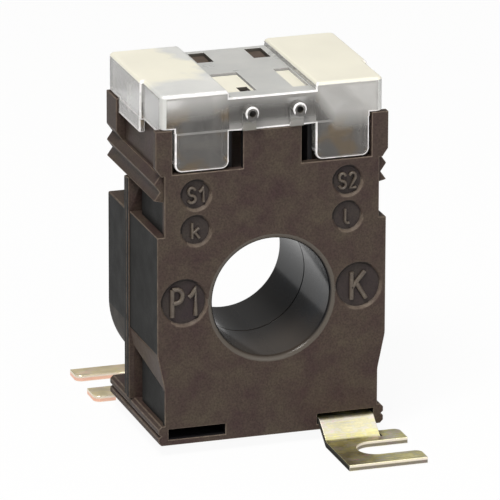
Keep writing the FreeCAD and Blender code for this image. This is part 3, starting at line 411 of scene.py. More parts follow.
# %% Yellow passivated steel
def passivated_steel():
    material, tree, shader = new_material("yellow zinc steel")
    sheet = use_group(tree, streaks, Along_X=0.25, Along_Y=3.0, Along_Z=3.0)
    clouds = clouds_of(tree, 0.45, 5.0, 0.7)
    bands = maths(tree, "ADD", maths(tree, "MULTIPLY", sheet.outputs["Height"], 0.45),
                  maths(tree, "MULTIPLY", clouds, 0.55))
    ramp = add_node(tree, "ShaderNodeValToRGB", {0: bands})
    place = place_along(tree)
    level, rear = place["Z"], remap(tree, place["Y"], -2.0, 2.0)
    stops = [(0.34, (0.90, 0.88, 0.74, 1)), (0.43, (0.86, 0.78, 0.38, 1)), (0.50, (0.66, 0.62, 0.36, 1)),
             (0.56, (0.74, 0.71, 0.62, 1)), (0.63, (0.88, 0.60, 0.52, 1)), (0.72, (0.90, 0.88, 0.80, 1))]
    while len(ramp.color_ramp.elements) < len(stops):
        ramp.color_ramp.elements.new(0.5)
    for element, (position, colour) in zip(ramp.color_ramp.elements, stops):
        element.position = position
        element.color = colour
    cut, side = face_mark(tree, "cut"), face_mark(tree, "side")
    edge_light_and_wear_mask = painted_edge_light_and_wear(tree, 0.9)
    dark_cut = blend_colours(tree, rear, (0.17, 0.145, 0.125, 1), (0.92, 0.55, 0.44, 1))
    upper_half = remap(tree, level, 0.62, 0.78)
    sheared = blend_colours(tree, upper_half, dark_cut, (0.88, 0.80, 0.70, 1))
    richer = add_node(tree, "ShaderNodeHueSaturation", {
        "Saturation": remap(tree, rear, 0.0, 1.0, 1.1, 2.0), "Color": ramp.outputs[0]}).outputs[0]
    richer = blend_colours(tree, maths(tree, "MULTIPLY", rear, 0.75), richer, (1.0, 0.86, 0.66, 1))
    colour = blend_colours(tree, maths(tree, "MULTIPLY", cut, 0.85), richer, sheared)
    # Painted highlight and wear on the bevels.
    colour = blend_colours(tree, edge_light_and_wear_mask, colour, (0.95, 0.88, 0.80, 1))
    # Painted shade on the front foot's left flanks.
    colour = blend_colours(tree, maths(tree, "MULTIPLY", side, 0.95), colour, (0.03, 0.03, 0.027, 1))
    # Painted highlight on the slopes: yellow low down, cream higher up.
    uneven_level = maths(tree, "ADD", level, maths(tree, "MULTIPLY", clouds, 2.0))
    warm = remap(tree, uneven_level, 2.6, 3.6)
    glow = blend_colours(tree, warm, (0.92, 0.86, 0.42, 1), (1.0, 0.96, 0.84, 1))
    slope = maths(tree, "MULTIPLY", face_mark(tree, "deep"), 0.4)
    colour = blend_colours(tree, slope, colour, glow)
    rough = remap(tree, sheet.outputs["Patch"], 0.3, 0.7, 0.30, 0.46)
    rough = maths(tree, "ADD", rough, maths(tree, "MULTIPLY", cut, 0.15))
    rough = maths(tree, "ADD", rough, maths(tree, "MULTIPLY", side, 0.5))
    set_inputs(tree, shader, {
        "Base Color": colour, "Roughness": rough, "Metallic": 1.0,
        "Normal": bump(tree, sheet.outputs["Height"], GRAIN_HEIGHT)})
    return material


# %% Plain metals
def plain_metal(name, colour, darker, rough, along=(3.5, 3.5, 0.3)):
    material, tree, shader = new_material(name)
    bar = use_group(tree, streaks, Along_X=along[0], Along_Y=along[1], Along_Z=along[2])
    edge_light_and_wear_mask = painted_edge_light_and_wear(tree)
    tone = blend_colours(tree, remap(tree, bar.outputs["Patch"], 0.35, 0.65), colour, darker)
    lighter = tuple(min(1.0, part * 1.15) for part in colour[:3]) + (1,)
    # Painted highlight and wear: the bevels are lightened.
    set_inputs(tree, shader, {
        "Base Color": blend_colours(tree, edge_light_and_wear_mask, tone, lighter), "Metallic": 1.0,
        "Roughness": remap(tree, bar.outputs["Height"], 0.3, 0.7, rough - 0.06, rough + 0.08),
        "Normal": bump(tree, bar.outputs["Height"], 0.008 * MM)})
    return material


yellow_zinc = passivated_steel()
bright_zinc = plain_metal("bright zinc steel", (0.70, 0.71, 0.72, 1), (0.58, 0.60, 0.62, 1), 0.28)
tinned_brass = plain_metal("tinned brass", (0.78, 0.74, 0.62, 1), (0.66, 0.62, 0.52, 1), 0.3)
core_steel = plain_metal("wound core steel", (0.42, 0.43, 0.45, 1), (0.30, 0.31, 0.34, 1), 0.35,
                         along=(6.0, 0.3, 6.0))
copper_wire = plain_metal("enamelled copper wire", (0.74, 0.34, 0.18, 1), (0.60, 0.25, 0.13, 1), 0.25)

# %% [markdown]
# ## Insulation inside the housing
#
# The cups round the core and the tape round the winding never show while the housing is closed,
# but they are real pieces and get real finishes: black moulded nylon, and thin amber tape whose
# overlapping turns leave faint ridges.

# %% Cup plastic and tape
black_plastic, tree, shader, skin, colour = grained_material(
    "cup plastic", (0.02, 0.02, 0.022, 1), (0.035, 0.034, 0.034, 1), 3.0, 0.3)
set_inputs(tree, shader, {"Roughness": 0.45, "Normal": bump(tree, skin["Height"], 0.015 * MM)})

amber_tape, tree, shader, skin, colour = grained_material(
    "winding tape", (0.62, 0.44, 0.06, 1), (0.74, 0.56, 0.12, 1), 1.2, 0.25)
set_inputs(tree, shader, {
    "Coat Weight": 0.3, "Roughness": remap(tree, skin["Height"], 0.4, 0.9, 0.25, 0.4)})
print("inner finishes:", black_plastic.name, amber_tape.name)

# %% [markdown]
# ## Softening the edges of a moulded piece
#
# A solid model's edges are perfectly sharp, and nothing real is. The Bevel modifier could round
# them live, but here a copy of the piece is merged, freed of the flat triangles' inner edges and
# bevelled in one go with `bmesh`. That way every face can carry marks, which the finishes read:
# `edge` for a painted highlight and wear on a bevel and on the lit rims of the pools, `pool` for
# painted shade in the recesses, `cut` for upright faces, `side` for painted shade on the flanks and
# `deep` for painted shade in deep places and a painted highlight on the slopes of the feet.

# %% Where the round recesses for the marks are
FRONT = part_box("case")[0].y / MM
SMALL_ACROSS, SMALL_UPPER, SMALL_LOWER, SMALL_RADIUS = 14.55, 49.7, 42.9, 2.75
LARGE_ACROSS, LARGE_UP, LARGE_RADIUS = 16.8, BORE_HEIGHT / MM + 0.65, 4.25
POOLS = [(side * SMALL_ACROSS, up, SMALL_RADIUS) for side in (-1, 1) for up in (SMALL_UPPER, SMALL_LOWER)]
POOLS += [(side * LARGE_ACROSS, LARGE_UP, LARGE_RADIUS) for side in (-1, 1)]
POOL_FLOOR, POOL_RIM, RIM_WIDTH = FRONT + 0.75, FRONT + 0.85, 0.7
CREASE = math.radians(35)


def in_a_pool(place, margin, deepest):
    """Whether a face belongs to one of the round recesses for the marks, or to its rim."""
    x, y, z = place / MM
    if not FRONT - 0.1 < y < deepest:
        return False
    return any(math.hypot(x - px, z - pz) < radius + margin for px, pz, radius in POOLS)


def light_on(normal):
    """How far a pool's rim turns to the light from above and the left."""
    return normal.z * 0.85 - normal.x * 0.5


# %% Make a dressed copy of one piece of the solid model
def mark_faces(work, marks, sort, tone):
    """Write the marks of every face and pick its finish."""
    edge_mark, pool_mark, cut_mark, side_mark, deep_mark = marks
    for face in work.faces:
        middle = face.calc_center_median()
        face[pool_mark] = float(in_a_pool(middle, 0.0, POOL_FLOOR))
        # Painted highlight on the pool rims that face the light, and little on the others.
        if in_a_pool(middle, RIM_WIDTH, POOL_RIM) and (face[pool_mark] < 0.5 or face[edge_mark]):
            face[edge_mark] = 0.8 if light_on(face.normal) > 0.3 else 0.1
        face[cut_mark] = float(abs(face.normal.z) < 0.2)
        if tone:
            face[side_mark], face[deep_mark] = tone(face)
            # Painted highlight on faces that lean down between 6 and 21 mm, along the grooves of the base.
            leans_in = face.normal.z < -0.05 and abs(face.normal.y) < 0.15
            if leans_in and 6.0 < middle.z / MM < 21.0:
                face[edge_mark] = 0.35
        if sort:
            face.material_index = sort(face, face[edge_mark] > 0.5)


def dressed_copy(name, node_name, body, materials, width, sort=None, tone=None, crisp=None,
                 shape=None):
    """Soften a copy of one solid: `sort` picks each face's finish, `tone` its side and deep marks,
    `crisp` the edges that stay sharp, and `shape` moves vertices first."""
    work = bmesh.new()
    work.from_mesh(frame["nodes"][node_name].data)
    bmesh.ops.remove_doubles(work, verts=work.verts, dist=1e-6)
    bmesh.ops.dissolve_limit(work, angle_limit=math.radians(0.5), verts=work.verts, edges=work.edges)
    if shape:
        shape(work)
    marks = [work.faces.layers.float.new(mark) for mark in ("edge", "pool", "cut", "side", "deep")]
    sharp = [edge for edge in work.edges
             if edge.is_manifold and edge.is_convex and edge.calc_face_angle(0) > math.radians(28)
             and not (crisp and crisp(edge))]
    made = bmesh.ops.bevel(work, geom=sharp, offset=width, offset_type="OFFSET", segments=2, profile=0.5,
                           affect="EDGES", clamp_overlap=False)
    for face in made["faces"]:
        face[marks[0]] = 1.0
    mark_faces(work, marks, sort, tone)
    mesh = bpy.data.meshes.new(name)
    work.to_mesh(mesh)
    work.free()
    for material in materials:
        mesh.materials.append(material)
    mesh.shade_smooth()
    mesh.set_sharp_from_angle(angle=CREASE)
    piece = add_piece(name, mesh, body)
    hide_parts(node_name)
    level = piece.modifiers.new("even shading", "WEIGHTED_NORMAL")
    level.keep_sharp = True
    print(name, "softened", len(sharp), "edges,", len(mesh.polygons), "faces")


# %% [markdown]
# ## Case, drum and cover
#
# All three are mouldings of about the same wall, so they share one recipe and differ in how
# crisp their edges are.

# %% Rules for the case and the drum
BEHIND_FRONT = FRONT + 0.3
ROUNDED_MOUTH = BORE_RADIUS + 1.1


def housing_surface(face, is_edge):
    """Polished inside the cable hole and on its rounded mouth, matt elsewhere."""
    farthest = max(math.hypot(vertex.co.x, vertex.co.z - BORE_HEIGHT) for vertex in face.verts)
    return int(farthest < ROUNDED_MOUTH * MM)


def housing_shade_marks(face):
    """Painted shade as (side, deep): grey on the flanks, dark in the side channels, on pool walls turned
    from the light, behind the windows and in the foot slots.
    """
    x, y, z = face.calc_center_median() / MM
    flank = abs(face.normal.x) > 0.9 and abs(face.normal.z) < 0.1 and 6.0 < z < 47
    channel = flank and -0.5 < y < 3.0 and abs(x) < 22.6
    behind_windows = y > BEHIND_FRONT and abs(x) < 8.25 and 54.5 < z < 63.5
    in_foot_slot = y > BEHIND_FRONT and abs(x) < 21.2 and 3.0 < z < 5.2
    pool_wall = in_a_pool(face.calc_center_median(), RIM_WIDTH, POOL_RIM)
    if channel or pool_wall and light_on(face.normal) < -0.3:
        return float(flank), 0.7
    return float(flank), 0.9 * float(behind_windows or in_foot_slot)


def drum_shade_marks(face):
    """Painted shade, grey, on the drum's flanks, and no deep mark."""
    return float(abs(face.normal.x) > 0.5), 0.0


# %% Rules for the cover
BRIDGE_TOP = 67.6
TRAY_FLOOR = BRIDGE_TOP - 0.5
EYELET_ACROSS, EYELET_UP = 4.55, 64.9


def in_an_opening(face):
    """Walls of the eyelet holes, the key hole and the two windows in the bridge."""
    x, y, z = face.calc_center_median() / MM
    if abs(face.normal.y) < 0.3 and math.hypot(abs(x) - EYELET_ACROSS, z - EYELET_UP) < 0.75:
        return True
    upright = abs(face.normal.z) < 0.3 and BRIDGE_TOP - 1.3 < z < BRIDGE_TOP + 0.1
    key_hole = -4.7 < x < -2.5 and y < -7.7
    window = 3.8 < abs(x) < 7.2 and 7.4 < y < 13.8
    return upright and (key_hole or window)


def stays_crisp(edge):
    """Edges of the trays, windows and key hole in the bridge, and of the ribs under the eyelets."""
    x, y, z = (edge.verts[0].co + edge.verts[1].co) / 2 / MM
    on_bridge = abs(x) < 8.2 and z > 66.0 and -14.8 < y < 14.8
    rib = abs(abs(x) - EYELET_ACROSS) < 1.4 and 61.0 < z < 64.2 and y < -13.5
    return on_bridge or rib or math.hypot(abs(x) - EYELET_ACROSS, z - EYELET_UP) < 0.8


def cover_surface(face, is_edge):
    """Which finish a face of the cover gets, as its place in the list of cover finishes."""
    across, _, height = face.calc_center_median() / MM
    if in_an_opening(face):
        return HOLE
    if is_edge:
        return EDGE
    slanted = max(abs(part) for part in face.normal) < 0.985
    if slanted and abs(across) < BRIDGE_HALF:
        return DARK_FRONT
    if slanted and face.normal.z < 0.3:
        return BRIDGE
    if slanted:
        return TOP if across > 0 or abs(face.normal.x) > abs(face.normal.y) else EDGE
    if face.normal.y < -0.7:
        return DARK_FRONT
    if face.normal.z < 0.7:
        return SIDE
    if height > BRIDGE_TOP + 0.3 or abs(height - TRAY_FLOOR) < 0.1:
        return TOP
    return BRIDGE if abs(height - BRIDGE_TOP) < 0.1 else SIDE


# %% Dress the three mouldings
dressed_copy("case_moulding", "case", "housing", [matt_housing, polished_hole],
             0.16 * MM, sort=housing_surface, tone=housing_shade_marks)
dressed_copy("back_drum", "rear_cap", "housing", [matt_housing, polished_hole],
             0.25 * MM, sort=housing_surface, tone=drum_shade_marks)
dressed_copy("frosted_cover", "terminal_cover", "cover", cover_finishes,
             0.3 * MM, sort=cover_surface, crisp=stays_crisp)

# %% [markdown]
# ## Latch hooks in the bridge windows
#
# Two springy hooks of the case reach up through the windows at the back of the bridge and hold
# the cover down. Their heads nearly fill the windows, which is why the windows look dark. Each hook
# is one side view, head and leg, drawn as a polygon and given its width.

# %% Make the two hooks
def latch_hook(name, side):
    well_floor, back, head_low, head_top = 52.2, 13.4, 65.6, 67.1
    inner_side, hook_width = 4.05, 2.9
    outline = [(back, well_floor), (back, head_top), (back - 3.0, head_top), (back - 5.5, head_top - 0.5),
               (back - 5.5, head_low), (back - 1.2, head_low - 0.8), (back - 1.2, well_floor)]
    work = bmesh.new()
    corners = [work.verts.new((side * inner_side * MM, y * MM, z * MM)) for y, z in outline]
    grown = bmesh.ops.extrude_face_region(work, geom=[work.faces.new(corners)])
    moved = [item for item in grown["geom"] if isinstance(item, bmesh.types.BMVert)]
    bmesh.ops.translate(work, verts=moved, vec=(side * hook_width * MM, 0, 0))
    bmesh.ops.recalc_face_normals(work, faces=work.faces)
    bmesh.ops.bevel(work, geom=list(work.edges), offset=0.15 * MM, segments=2, profile=0.5,
                    affect="EDGES")
    mesh = bpy.data.meshes.new(name)
    work.to_mesh(mesh)
    work.free()
    mesh.materials.append(matt_housing)
    # Every face carries half the edge mark: lighter patches of painted highlight and wear.
    edge_light_and_wear_mask = mesh.attributes.new("edge", "FLOAT", "FACE")
    edge_light_and_wear_mask.data.foreach_set("value", [0.5] * len(mesh.polygons))
    add_piece(name, mesh, "housing")
    print(name, "has", len(mesh.polygons), "faces")


latch_hook("latch_hook_left", -1)
latch_hook("latch_hook_right", 1)

# %% [markdown]
# ## Arch over the ring
#
# The ring stands higher than the drum behind it. A thin arch of the same plastic roofs the ring up
# to the terminal block and closes the drum's back. It is a shell: an outer and an inner row of
# points along two arcs, with a thin wall behind.

# %% Roof the ring behind the flange
def ring_arch(name):
    foot_height, centre, steps = 41.7, BORE_HEIGHT / MM, 40
    outer, inner = 19.85, 18.9
    front, wall, back = 4.3, 13.8, 14.3
    work = bmesh.new()
    arcs = []
    for radius, y in ((outer, front), (outer, back), (inner, front), (inner, wall)):
        reach = math.acos((foot_height - centre) / radius)
        turns = [reach * (2 * step / steps - 1) for step in range(steps + 1)]
        arcs.append([work.verts.new((radius * math.sin(around) * MM, y * MM,
                                     (centre + radius * math.cos(around)) * MM)) for around in turns])
    outer_front, outer_back, inner_front, inner_wall = arcs
    for first, second in ((outer_front, outer_back), (inner_front, inner_wall),
                          (outer_front, inner_front)):
        for step in range(steps):
            work.faces.new((first[step], first[step + 1], second[step + 1], second[step]))
    work.faces.new(outer_back)
    work.faces.new(inner_wall)
    for end in (0, -1):
        work.faces.new((outer_front[end], outer_back[end], inner_wall[end], inner_front[end]))
    work.faces.new((outer_back[0], outer_back[-1], inner_wall[-1], inner_wall[0]))
    bmesh.ops.recalc_face_normals(work, faces=work.faces)
    longest_step = 10 * MM
    rim = [edge for edge in work.edges if all(vertex in outer_back for vertex in edge.verts)
           and edge.calc_length() < longest_step]
    bmesh.ops.bevel(work, geom=rim, offset=0.25 * MM, segments=2, profile=0.5, affect="EDGES")
    mesh = bpy.data.meshes.new(name)
    work.to_mesh(mesh)
    open_edges = sum(not edge.is_manifold for edge in work.edges)
    work.free()
    mesh.materials.append(matt_housing)
    mesh.shade_smooth()
    mesh.set_sharp_from_angle(angle=CREASE)
    add_piece(name, mesh, "housing")
    print(name, "has", len(mesh.polygons), "faces and", open_edges, "open edges")


ring_arch("arch_over_ring")

# %% [markdown]
# ## Feet
#
# Each foot is punched from 1.2 mm sheet and bent once up and once down. Punching leaves a soft
# edge on top and a faint burr below, so the bevel is small.

# %% Dress the feet
def foot_shade_and_light_marks(face):
    """Painted shade on the front foot's left flanks, which are also rougher, and a painted highlight on the
    slope of either foot.
    """
    dark = face.normal.x < -0.5 and face.calc_center_median().y < 0
    return float(dark), float(0.3 < face.normal.z < 0.97)


dressed_copy("front_foot", "foot_front", "front_foot", [yellow_zinc],
             0.1 * MM, tone=foot_shade_and_light_marks)
dressed_copy("back_foot", "foot_rear", "rear_foot", [yellow_zinc],
             0.1 * MM, tone=foot_shade_and_light_marks)

# %% [markdown]
# ## Pieces that repeat: screw threads and turns of wire
#
# A thread is one ridge that climbs round a shank, and a winding is one loop of wire repeated round
# a ring. Rules like these suit Geometry Nodes. Each tree gets its sizes through named inputs, and
# the finished shape is turned into a plain mesh, because only plain meshes can be handed on.

# %% Helpers for trees of geometry nodes
def new_geometry_tree(name, sizes):
    """An empty tree with inputs given as {label: kind}; returns it with the keys of its inputs."""
    tree = bpy.data.node_groups.new(name, "GeometryNodeTree")
    keys = {}
    for label, kind in sizes.items():
        socket = tree.interface.new_socket(label, in_out="INPUT", socket_type="NodeSocket" + kind)
        keys[label] = socket.identifier
    tree.interface.new_socket("Geometry", in_out="OUTPUT", socket_type="NodeSocketGeometry")
    return tree, keys, tree.nodes.new("NodeGroupInput").outputs


def finish_tree(tree, geometry, material):
    """Every tree ends in real geometry with its finish on."""
    real = add_node(tree, "GeometryNodeRealizeInstances", {"Geometry": geometry})
    coated = add_node(tree, "GeometryNodeSetMaterial", {
        "Geometry": real.outputs[0], "Material": material})
    tree.links.new(coated.outputs[0], tree.nodes.new("NodeGroupOutput").inputs["Geometry"])


def grow_piece(name, tree, keys, values, body):
    """Run a tree with its inputs set, and keep the outcome as a plain mesh on one body."""
    piece = bpy.data.objects.new(name, bpy.data.meshes.new(name + "_seed"))
    bpy.context.scene.collection.objects.link(piece)
    growth = piece.modifiers.new("growth", "NODES")
    growth.node_group = tree
    for label, value in values.items():
        growth[keys[label]] = value
    bpy.context.view_layer.update()
    grown = piece.evaluated_get(bpy.context.evaluated_depsgraph_get())
    mesh = bpy.data.meshes.new_from_object(grown)
    piece.modifiers.remove(growth)
    work = bmesh.new()
    work.from_mesh(mesh)
    bmesh.ops.recalc_face_normals(work, faces=work.faces)
    work.to_mesh(mesh)
    work.free()
    mesh.name = name
    mesh.shade_smooth()
    piece.data = mesh
    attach(piece, body)
    print(name, "has", len(mesh.polygons), "faces")
    return piece


# %% The tree for a screw thread
thread_tree, thread_keys, thread_in = new_geometry_tree("screw thread", {
    "Turns": "Float", "Length": "Float", "Ridge Radius": "Float", "Ridge Height": "Float",
    "Across": "Float", "Back": "Float", "Foot": "Float", "Material": "Material"})
climb = add_node(thread_tree, "GeometryNodeCurveSpiral", {
    "Resolution": 24, "Rotations": thread_in["Turns"], "Start Radius": thread_in["Ridge Radius"],
    "End Radius": thread_in["Ridge Radius"], "Height": thread_in["Length"]})
ridge = add_node(thread_tree, "GeometryNodeCurvePrimitiveCircle", {
    "Resolution": 6, "Radius": thread_in["Ridge Height"]})
swept = add_node(thread_tree, "GeometryNodeCurveToMesh", {
    "Curve": climb.outputs[0], "Profile Curve": ridge.outputs[0], "Fill Caps": True})
seat = add_node(thread_tree, "ShaderNodeCombineXYZ", {
    0: thread_in["Across"], 1: thread_in["Back"], 2: thread_in["Foot"]})
seated = add_node(thread_tree, "GeometryNodeTransform", {
    "Geometry": swept.outputs[0], "Translation": seat.outputs[0]})
finish_tree(thread_tree, seated.outputs[0], thread_in["Material"])
print("built", thread_tree.name)

# %% Terminal screws: heads from the solid model, shanks slimmed, threads grown
SCREW_SEAT, SCREW_ACROSS, SCREW_BACK = 59.2, 13.625, -3.4
SHANK_REACH, SHANK_SLIMMING = 2.05, 0.19


def slim_shank(axis_x):
    """Draw the shank in toward its axis, to make room for the thread."""
    def shape(work):
        for vertex in work.verts:
            away = Vector((vertex.co.x - axis_x * MM, vertex.co.y - SCREW_BACK * MM, 0))
            if vertex.co.z < (SCREW_SEAT + 0.01) * MM and away.length < SHANK_REACH * MM:
                vertex.co -= away * SHANK_SLIMMING
    return shape


for end, axis_x in (("s1", -SCREW_ACROSS), ("s2", SCREW_ACROSS)):
    dressed_copy("screw_" + end, "terminal_screw_" + end, "screw_" + end, [bright_zinc],
                 0.1 * MM, shape=slim_shank(axis_x))
    grow_piece("screw_thread_" + end, thread_tree, thread_keys, {
        "Turns": 9.6, "Length": 6.7 * MM, "Ridge Radius": 1.66 * MM, "Ridge Height": 0.32 * MM,
        "Across": axis_x * MM, "Back": SCREW_BACK * MM, "Foot": 52.1 * MM, "Material": bright_zinc},
        "screw_" + end)

# %% The tree for turns of wire round the ring core
turns_tree, turns_keys, turns_in = new_geometry_tree("winding turns", {
    "Turns": "Int", "Inner Radius": "Float", "Outer Radius": "Float", "Length": "Float",
    "Wire Radius": "Float", "Slack": "Float", "Seed": "Int", "Middle": "Float", "Axis Height": "Float",
    "Material": "Material"})
depth = maths(turns_tree, "SUBTRACT", turns_in["Outer Radius"], turns_in["Inner Radius"])
both_radii = maths(turns_tree, "ADD", turns_in["Outer Radius"], turns_in["Inner Radius"])
halfway = maths(turns_tree, "MULTIPLY", both_radii, 0.5)
loop = add_node(turns_tree, "GeometryNodeCurvePrimitiveQuadrilateral", {
    "Width": depth, "Height": turns_in["Length"]})
eased = add_node(turns_tree, "GeometryNodeFilletCurve", {
    "Curve": loop.outputs[0], "Count": 3, "Radius": 0.6 * MM}, mode="POLY")
wire = add_node(turns_tree, "GeometryNodeCurvePrimitiveCircle", {
    "Resolution": 6, "Radius": turns_in["Wire Radius"]})
one_turn = add_node(turns_tree, "GeometryNodeCurveToMesh", {
    "Curve": eased.outputs[0], "Profile Curve": wire.outputs[0]})
outward = add_node(turns_tree, "ShaderNodeCombineXYZ", {0: halfway, 1: turns_in["Middle"]})
placed = add_node(turns_tree, "GeometryNodeTransform", {
    "Geometry": one_turn.outputs[0], "Translation": outward.outputs[0]})
spots = add_node(turns_tree, "GeometryNodeMeshLine", {"Count": turns_in["Turns"], "Offset": (0, 0, 0)})
loose = add_node(turns_tree, "FunctionNodeRandomValue", {3: turns_in["Slack"], "Seed": turns_in["Seed"]})
step = maths(turns_tree, "DIVIDE", math.tau, turns_in["Turns"])
number = add_node(turns_tree, "GeometryNodeInputIndex").outputs[0]
angle = maths(turns_tree, "ADD", maths(turns_tree, "MULTIPLY", number, step), loose.outputs[1])
spun = add_node(turns_tree, "ShaderNodeCombineXYZ", {1: angle})
ring = add_node(turns_tree, "GeometryNodeInstanceOnPoints", {
    "Points": spots.outputs[0], "Instance": placed.outputs[0], "Rotation": spun.outputs[0]})
lift = add_node(turns_tree, "ShaderNodeCombineXYZ", {2: turns_in["Axis Height"]})
lifted = add_node(turns_tree, "GeometryNodeTransform", {
    "Geometry": ring.outputs[0], "Translation": lift.outputs[0]})
finish_tree(turns_tree, lifted.outputs[0], turns_in["Material"])
print("built", turns_tree.name)

# %% Wind the secondary
winding_low, winding_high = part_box("secondary_winding")
wire_radius, wire_room = 0.29 * MM, 0.3 * MM
winding = grow_piece("secondary_turns", turns_tree, turns_keys, {
    "Turns": 132, "Inner Radius": 13.3 * MM, "Outer Radius": winding_high.x - wire_room,
    "Length": winding_high.y - winding_low.y - 2 * wire_room, "Wire Radius": wire_radius,
    "Slack": 0.004, "Seed": 7, "Middle": (winding_high.y + winding_low.y) / 2,
    "Axis Height": BORE_HEIGHT, "Material": copper_wire},
    "housing")
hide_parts("secondary_winding")

# %% [markdown]
# ## Raised marks in round recesses
#
# The terminal marks stand in shallow round pools on the front: S1 and S2 for the winding's ends
# with the old letters k and l below them, P1 and K for the cable's direction. A typeface has
# flat-topped letters. The mould was cut with a ball-nosed tool instead, so each stroke is a
# rounded ridge: a curve with a round section, squeezed to the depth of the pool.

# %% The strokes of each letter, one unit high
def arc(x, y, wide, high, start, end, steps=10):
    angles = [math.radians(start + (end - start) * step / steps) for step in range(steps + 1)]
    return [(x + wide * math.cos(angle), y + high * math.sin(angle)) for angle in angles]


LETTERS = {
    "P": [[(0, 0), (0, 1)], [(0, 1), (0.17, 1)] + arc(0.17, 0.75, 0.25, 0.25, 90, -90) + [(0, 0.5)]],
    "1": [[(0, 0.68), (0.12, 0.76), (0.24, 0.92), (0.27, 1), (0.27, 0)]],
    "K": [[(0, 0), (0, 1)], [(0.48, 1), (0, 0.42)], [(0.17, 0.6), (0.52, 0)]],
    "S": [arc(0.25, 0.74, 0.22, 0.26, 20, 270) + arc(0.25, 0.24, 0.24, 0.24, 90, -160)],
    "2": [arc(0.23, 0.74, 0.22, 0.26, 160, -30) + [(0.02, 0), (0.46, 0)]],
    "k": [[(0, 0), (0, 1)], [(0.38, 0.66), (0, 0.32)], [(0.13, 0.43), (0.4, 0)]],
    "l": [[(0, 1), (0, 0.2)] + arc(0.16, 0.2, 0.16, 0.2, 180, 300)],
}
LETTER_GAP = 0.26
POOL_DEPTH = 0.7 * MM


def write_mark(name, text, across, up, wide, high, stroke):
    """Rounded ridges for a mark, centred on one pool and standing up from its floor."""
    curve = bpy.data.curves.new(name, "CURVE")
    curve.dimensions = "3D"
    curve.bevel_depth = stroke / 2
    curve.bevel_resolution = 3
    curve.use_fill_caps = True
    cursor, paths = 0.0, []
    for letter in text:
        strokes = LETTERS[letter]
        paths += [[(x + cursor, y) for x, y in points] for points in strokes]
        cursor += max(x for points in strokes for x, y in points) + LETTER_GAP
    widest = max(x for points in paths for x, y in points)
    for points in paths:
        line = curve.splines.new("POLY")
        line.points.add(len(points) - 1)
        for point, (x, y) in zip(line.points, points):
            if len(text) > 1 or text == "K":
                left = (x / widest - 0.5) * (wide - stroke)
            else:
                left = (x - widest / 2) * high
            point.co = (left, (y - 0.5) * (high - stroke), 0, 1)
    writing = bpy.data.objects.new(name, curve)
    bpy.context.scene.collection.objects.link(writing)
    bpy.context.view_layer.update()
    written = writing.evaluated_get(bpy.context.evaluated_depsgraph_get())
    mesh = bpy.data.meshes.new_from_object(written)
    bpy.data.objects.remove(writing)
    mesh.name = name
    mesh.transform(Matrix.Diagonal((1, 1, (POOL_DEPTH + 0.02 * MM) / stroke, 1)))
    mesh.transform(Matrix.Rotation(math.radians(90), 4, "X"))
    mesh.transform(Matrix.Translation((across, FRONT * MM + POOL_DEPTH / 2 + 0.04 * MM, up)))
    mesh.materials.clear()
    mesh.materials.append(letter_plastic)
    mesh.shade_smooth()
    add_piece(name, mesh, "housing")


# %% Write the marks on the front
# The letters are painted lighter than the case, a painted highlight for their lit ridges.
letter_plastic, tree, shader, skin, colour = grained_material(
    "letters painted light", (0.06, 0.044, 0.034, 1), (0.10, 0.08, 0.06, 1), 2.6, 0.9)
set_inputs(tree, shader, {"Roughness": remap(tree, skin["Height"], 0.4, 0.9, 0.38, 0.52)})
marks = [
    ("mark_S1", "S1", -SMALL_ACROSS, SMALL_UPPER, 3.5, 3.4, 0.55),
    ("mark_S2", "S2", SMALL_ACROSS, SMALL_UPPER, 3.8, 3.4, 0.55),
    ("mark_small_k", "k", -SMALL_ACROSS, SMALL_LOWER, 1.8, 3.4, 0.5),
    ("mark_small_l", "l", SMALL_ACROSS, SMALL_LOWER, 1.2, 3.2, 0.5),
    ("mark_P1", "P1", -LARGE_ACROSS, LARGE_UP, 5.3, 6.1, 0.85),
    ("mark_K", "K", LARGE_ACROSS + 0.1, LARGE_UP, 3.6, 6.1, 0.85),
]
for name, text, across, up, wide, high, stroke in marks:
    write_mark(name, text, across * MM, up * MM, wide * MM, high * MM, stroke * MM)
print("wrote", len(marks), "marks on the front")

# %% [markdown]
# ## Finishes of the pieces that stay as they are
#
# Pieces whose solid shape needs no change only get their finish.

# %% Assign the remaining finishes
finishes = {
    "core": core_steel, "core_cup_front": black_plastic, "core_cup_rear": black_plastic,
    "winding_tape": amber_tape,
    "winding_lead_s1": copper_wire, "winding_lead_s2": copper_wire,
}
for end in ("s1", "s2"):
    finishes["terminal_plate_" + end] = tinned_brass
    for piece_name in ("terminal_nut_", "clamp_plate_", "lock_washer_"):
        finishes[piece_name + end] = bright_zinc
for node_name, material in finishes.items():
    mesh = frame["nodes"][node_name].data
    mesh.materials.clear()
    mesh.materials.append(material)
print(len(finishes), "pieces carried over")

# %% [markdown]
# ## Floor, sky and lamps
#
# Catalogue pictures are taken on white with large soft lamps. The floor and the sky look white
# to the camera and in reflections, while the light they give stays moderate, so colours
# render as they are written.

# %% Floor
floor_mesh = bpy.data.meshes.new("floor")
floor_half, floor_drop = 3, -0.2 * MM
corners = [(x * floor_half, y * floor_half, floor_drop) for x, y in ((-1, -1), (1, -1), (1, 1), (-1, 1))]
floor_mesh.from_pydata(corners, [], [(0, 1, 2, 3)])
floor = bpy.data.objects.new("floor", floor_mesh)
bpy.context.scene.collection.objects.link(floor)
paper, tree, shader = new_material("white paper")
tint = add_node(tree, "ShaderNodeTexNoise", {"Scale": 3.0, "Detail": 2.0}).outputs[0]
set_inputs(tree, shader, {
    "Base Color": blend_colours(tree, tint, (0.86, 0.86, 0.86, 1), (0.88, 0.88, 0.88, 1)),
    "Roughness": 0.8})
path = add_node(tree, "ShaderNodeLightPath").outputs
through = maths(tree, "MAXIMUM", path["Is Glossy Ray"], path["Is Transmission Ray"])
seen = maths(tree, "MAXIMUM", path["Is Camera Ray"], through)
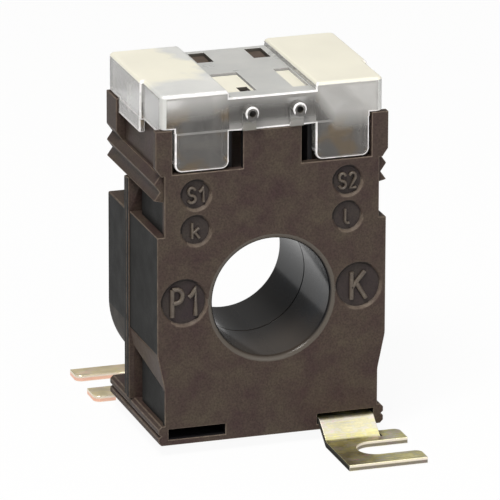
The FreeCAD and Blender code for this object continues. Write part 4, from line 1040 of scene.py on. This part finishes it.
glow = add_node(tree, "ShaderNodeEmission", {"Color": (1, 1, 1, 1), "Strength": 1.0})
seen_floor = add_node(tree, "ShaderNodeMixShader", {
    0: maths(tree, "MULTIPLY", seen, 0.94), 1: shader.outputs[0], 2: glow.outputs[0]})
output = next(node for node in tree.nodes if node.type == "OUTPUT_MATERIAL")
tree.links.new(seen_floor.outputs[0], output.inputs["Surface"])
floor_mesh.materials.append(paper)

# %% Sky and lamps
world = bpy.data.worlds.new("white studio")
bpy.context.scene.world = world
world.use_nodes = True
sky = world.node_tree
background = sky.nodes["Background"]
path = add_node(sky, "ShaderNodeLightPath").outputs
background.inputs["Color"].default_value = (1, 1, 1, 1)
aim = add_node(sky, "ShaderNodeSeparateXYZ", {0: add_node(sky, "ShaderNodeTexCoord").outputs["Generated"]})
wall = remap(sky, aim.outputs["Z"], 0.28, 0.8, 0.17, 1.0)
open_sky = maths(sky, "MAXIMUM", path["Is Camera Ray"], path["Is Transmission Ray"])
mirrored = maths(sky, "MULTIPLY", wall, path["Is Glossy Ray"])
fill_light = 0.27
strength = maths(sky, "MAXIMUM", maths(sky, "MAXIMUM", open_sky, mirrored), fill_light)
sky.links.new(strength, background.inputs["Strength"])


def soft_lamp(name, place, size, watts, colour=(1, 1, 1)):
    """A square lamp that looks at the middle of the part."""
    data = bpy.data.lights.new(name, "AREA")
    data.shape = "SQUARE"
    data.size = size
    data.energy = watts
    data.color = colour
    lamp = bpy.data.objects.new(name, data)
    bpy.context.scene.collection.objects.link(lamp)
    lamp.location = place
    lamp.rotation_mode = "QUATERNION"
    middle = Vector((0, 0, 35 * MM))
    lamp.rotation_quaternion = (middle - Vector(place)).to_track_quat("-Z", "Y")


soft_lamp("overhead_lamp", (-0.3, -0.4, 0.8), 0.36, 8.0, (1.0, 0.98, 0.94))
soft_lamp("front_lamp", (0.35, -0.85, 0.35), 0.5, 2.2)
bpy.context.scene.view_settings.view_transform = "Standard"
print("lamps:", [light.name for light in bpy.data.lights])
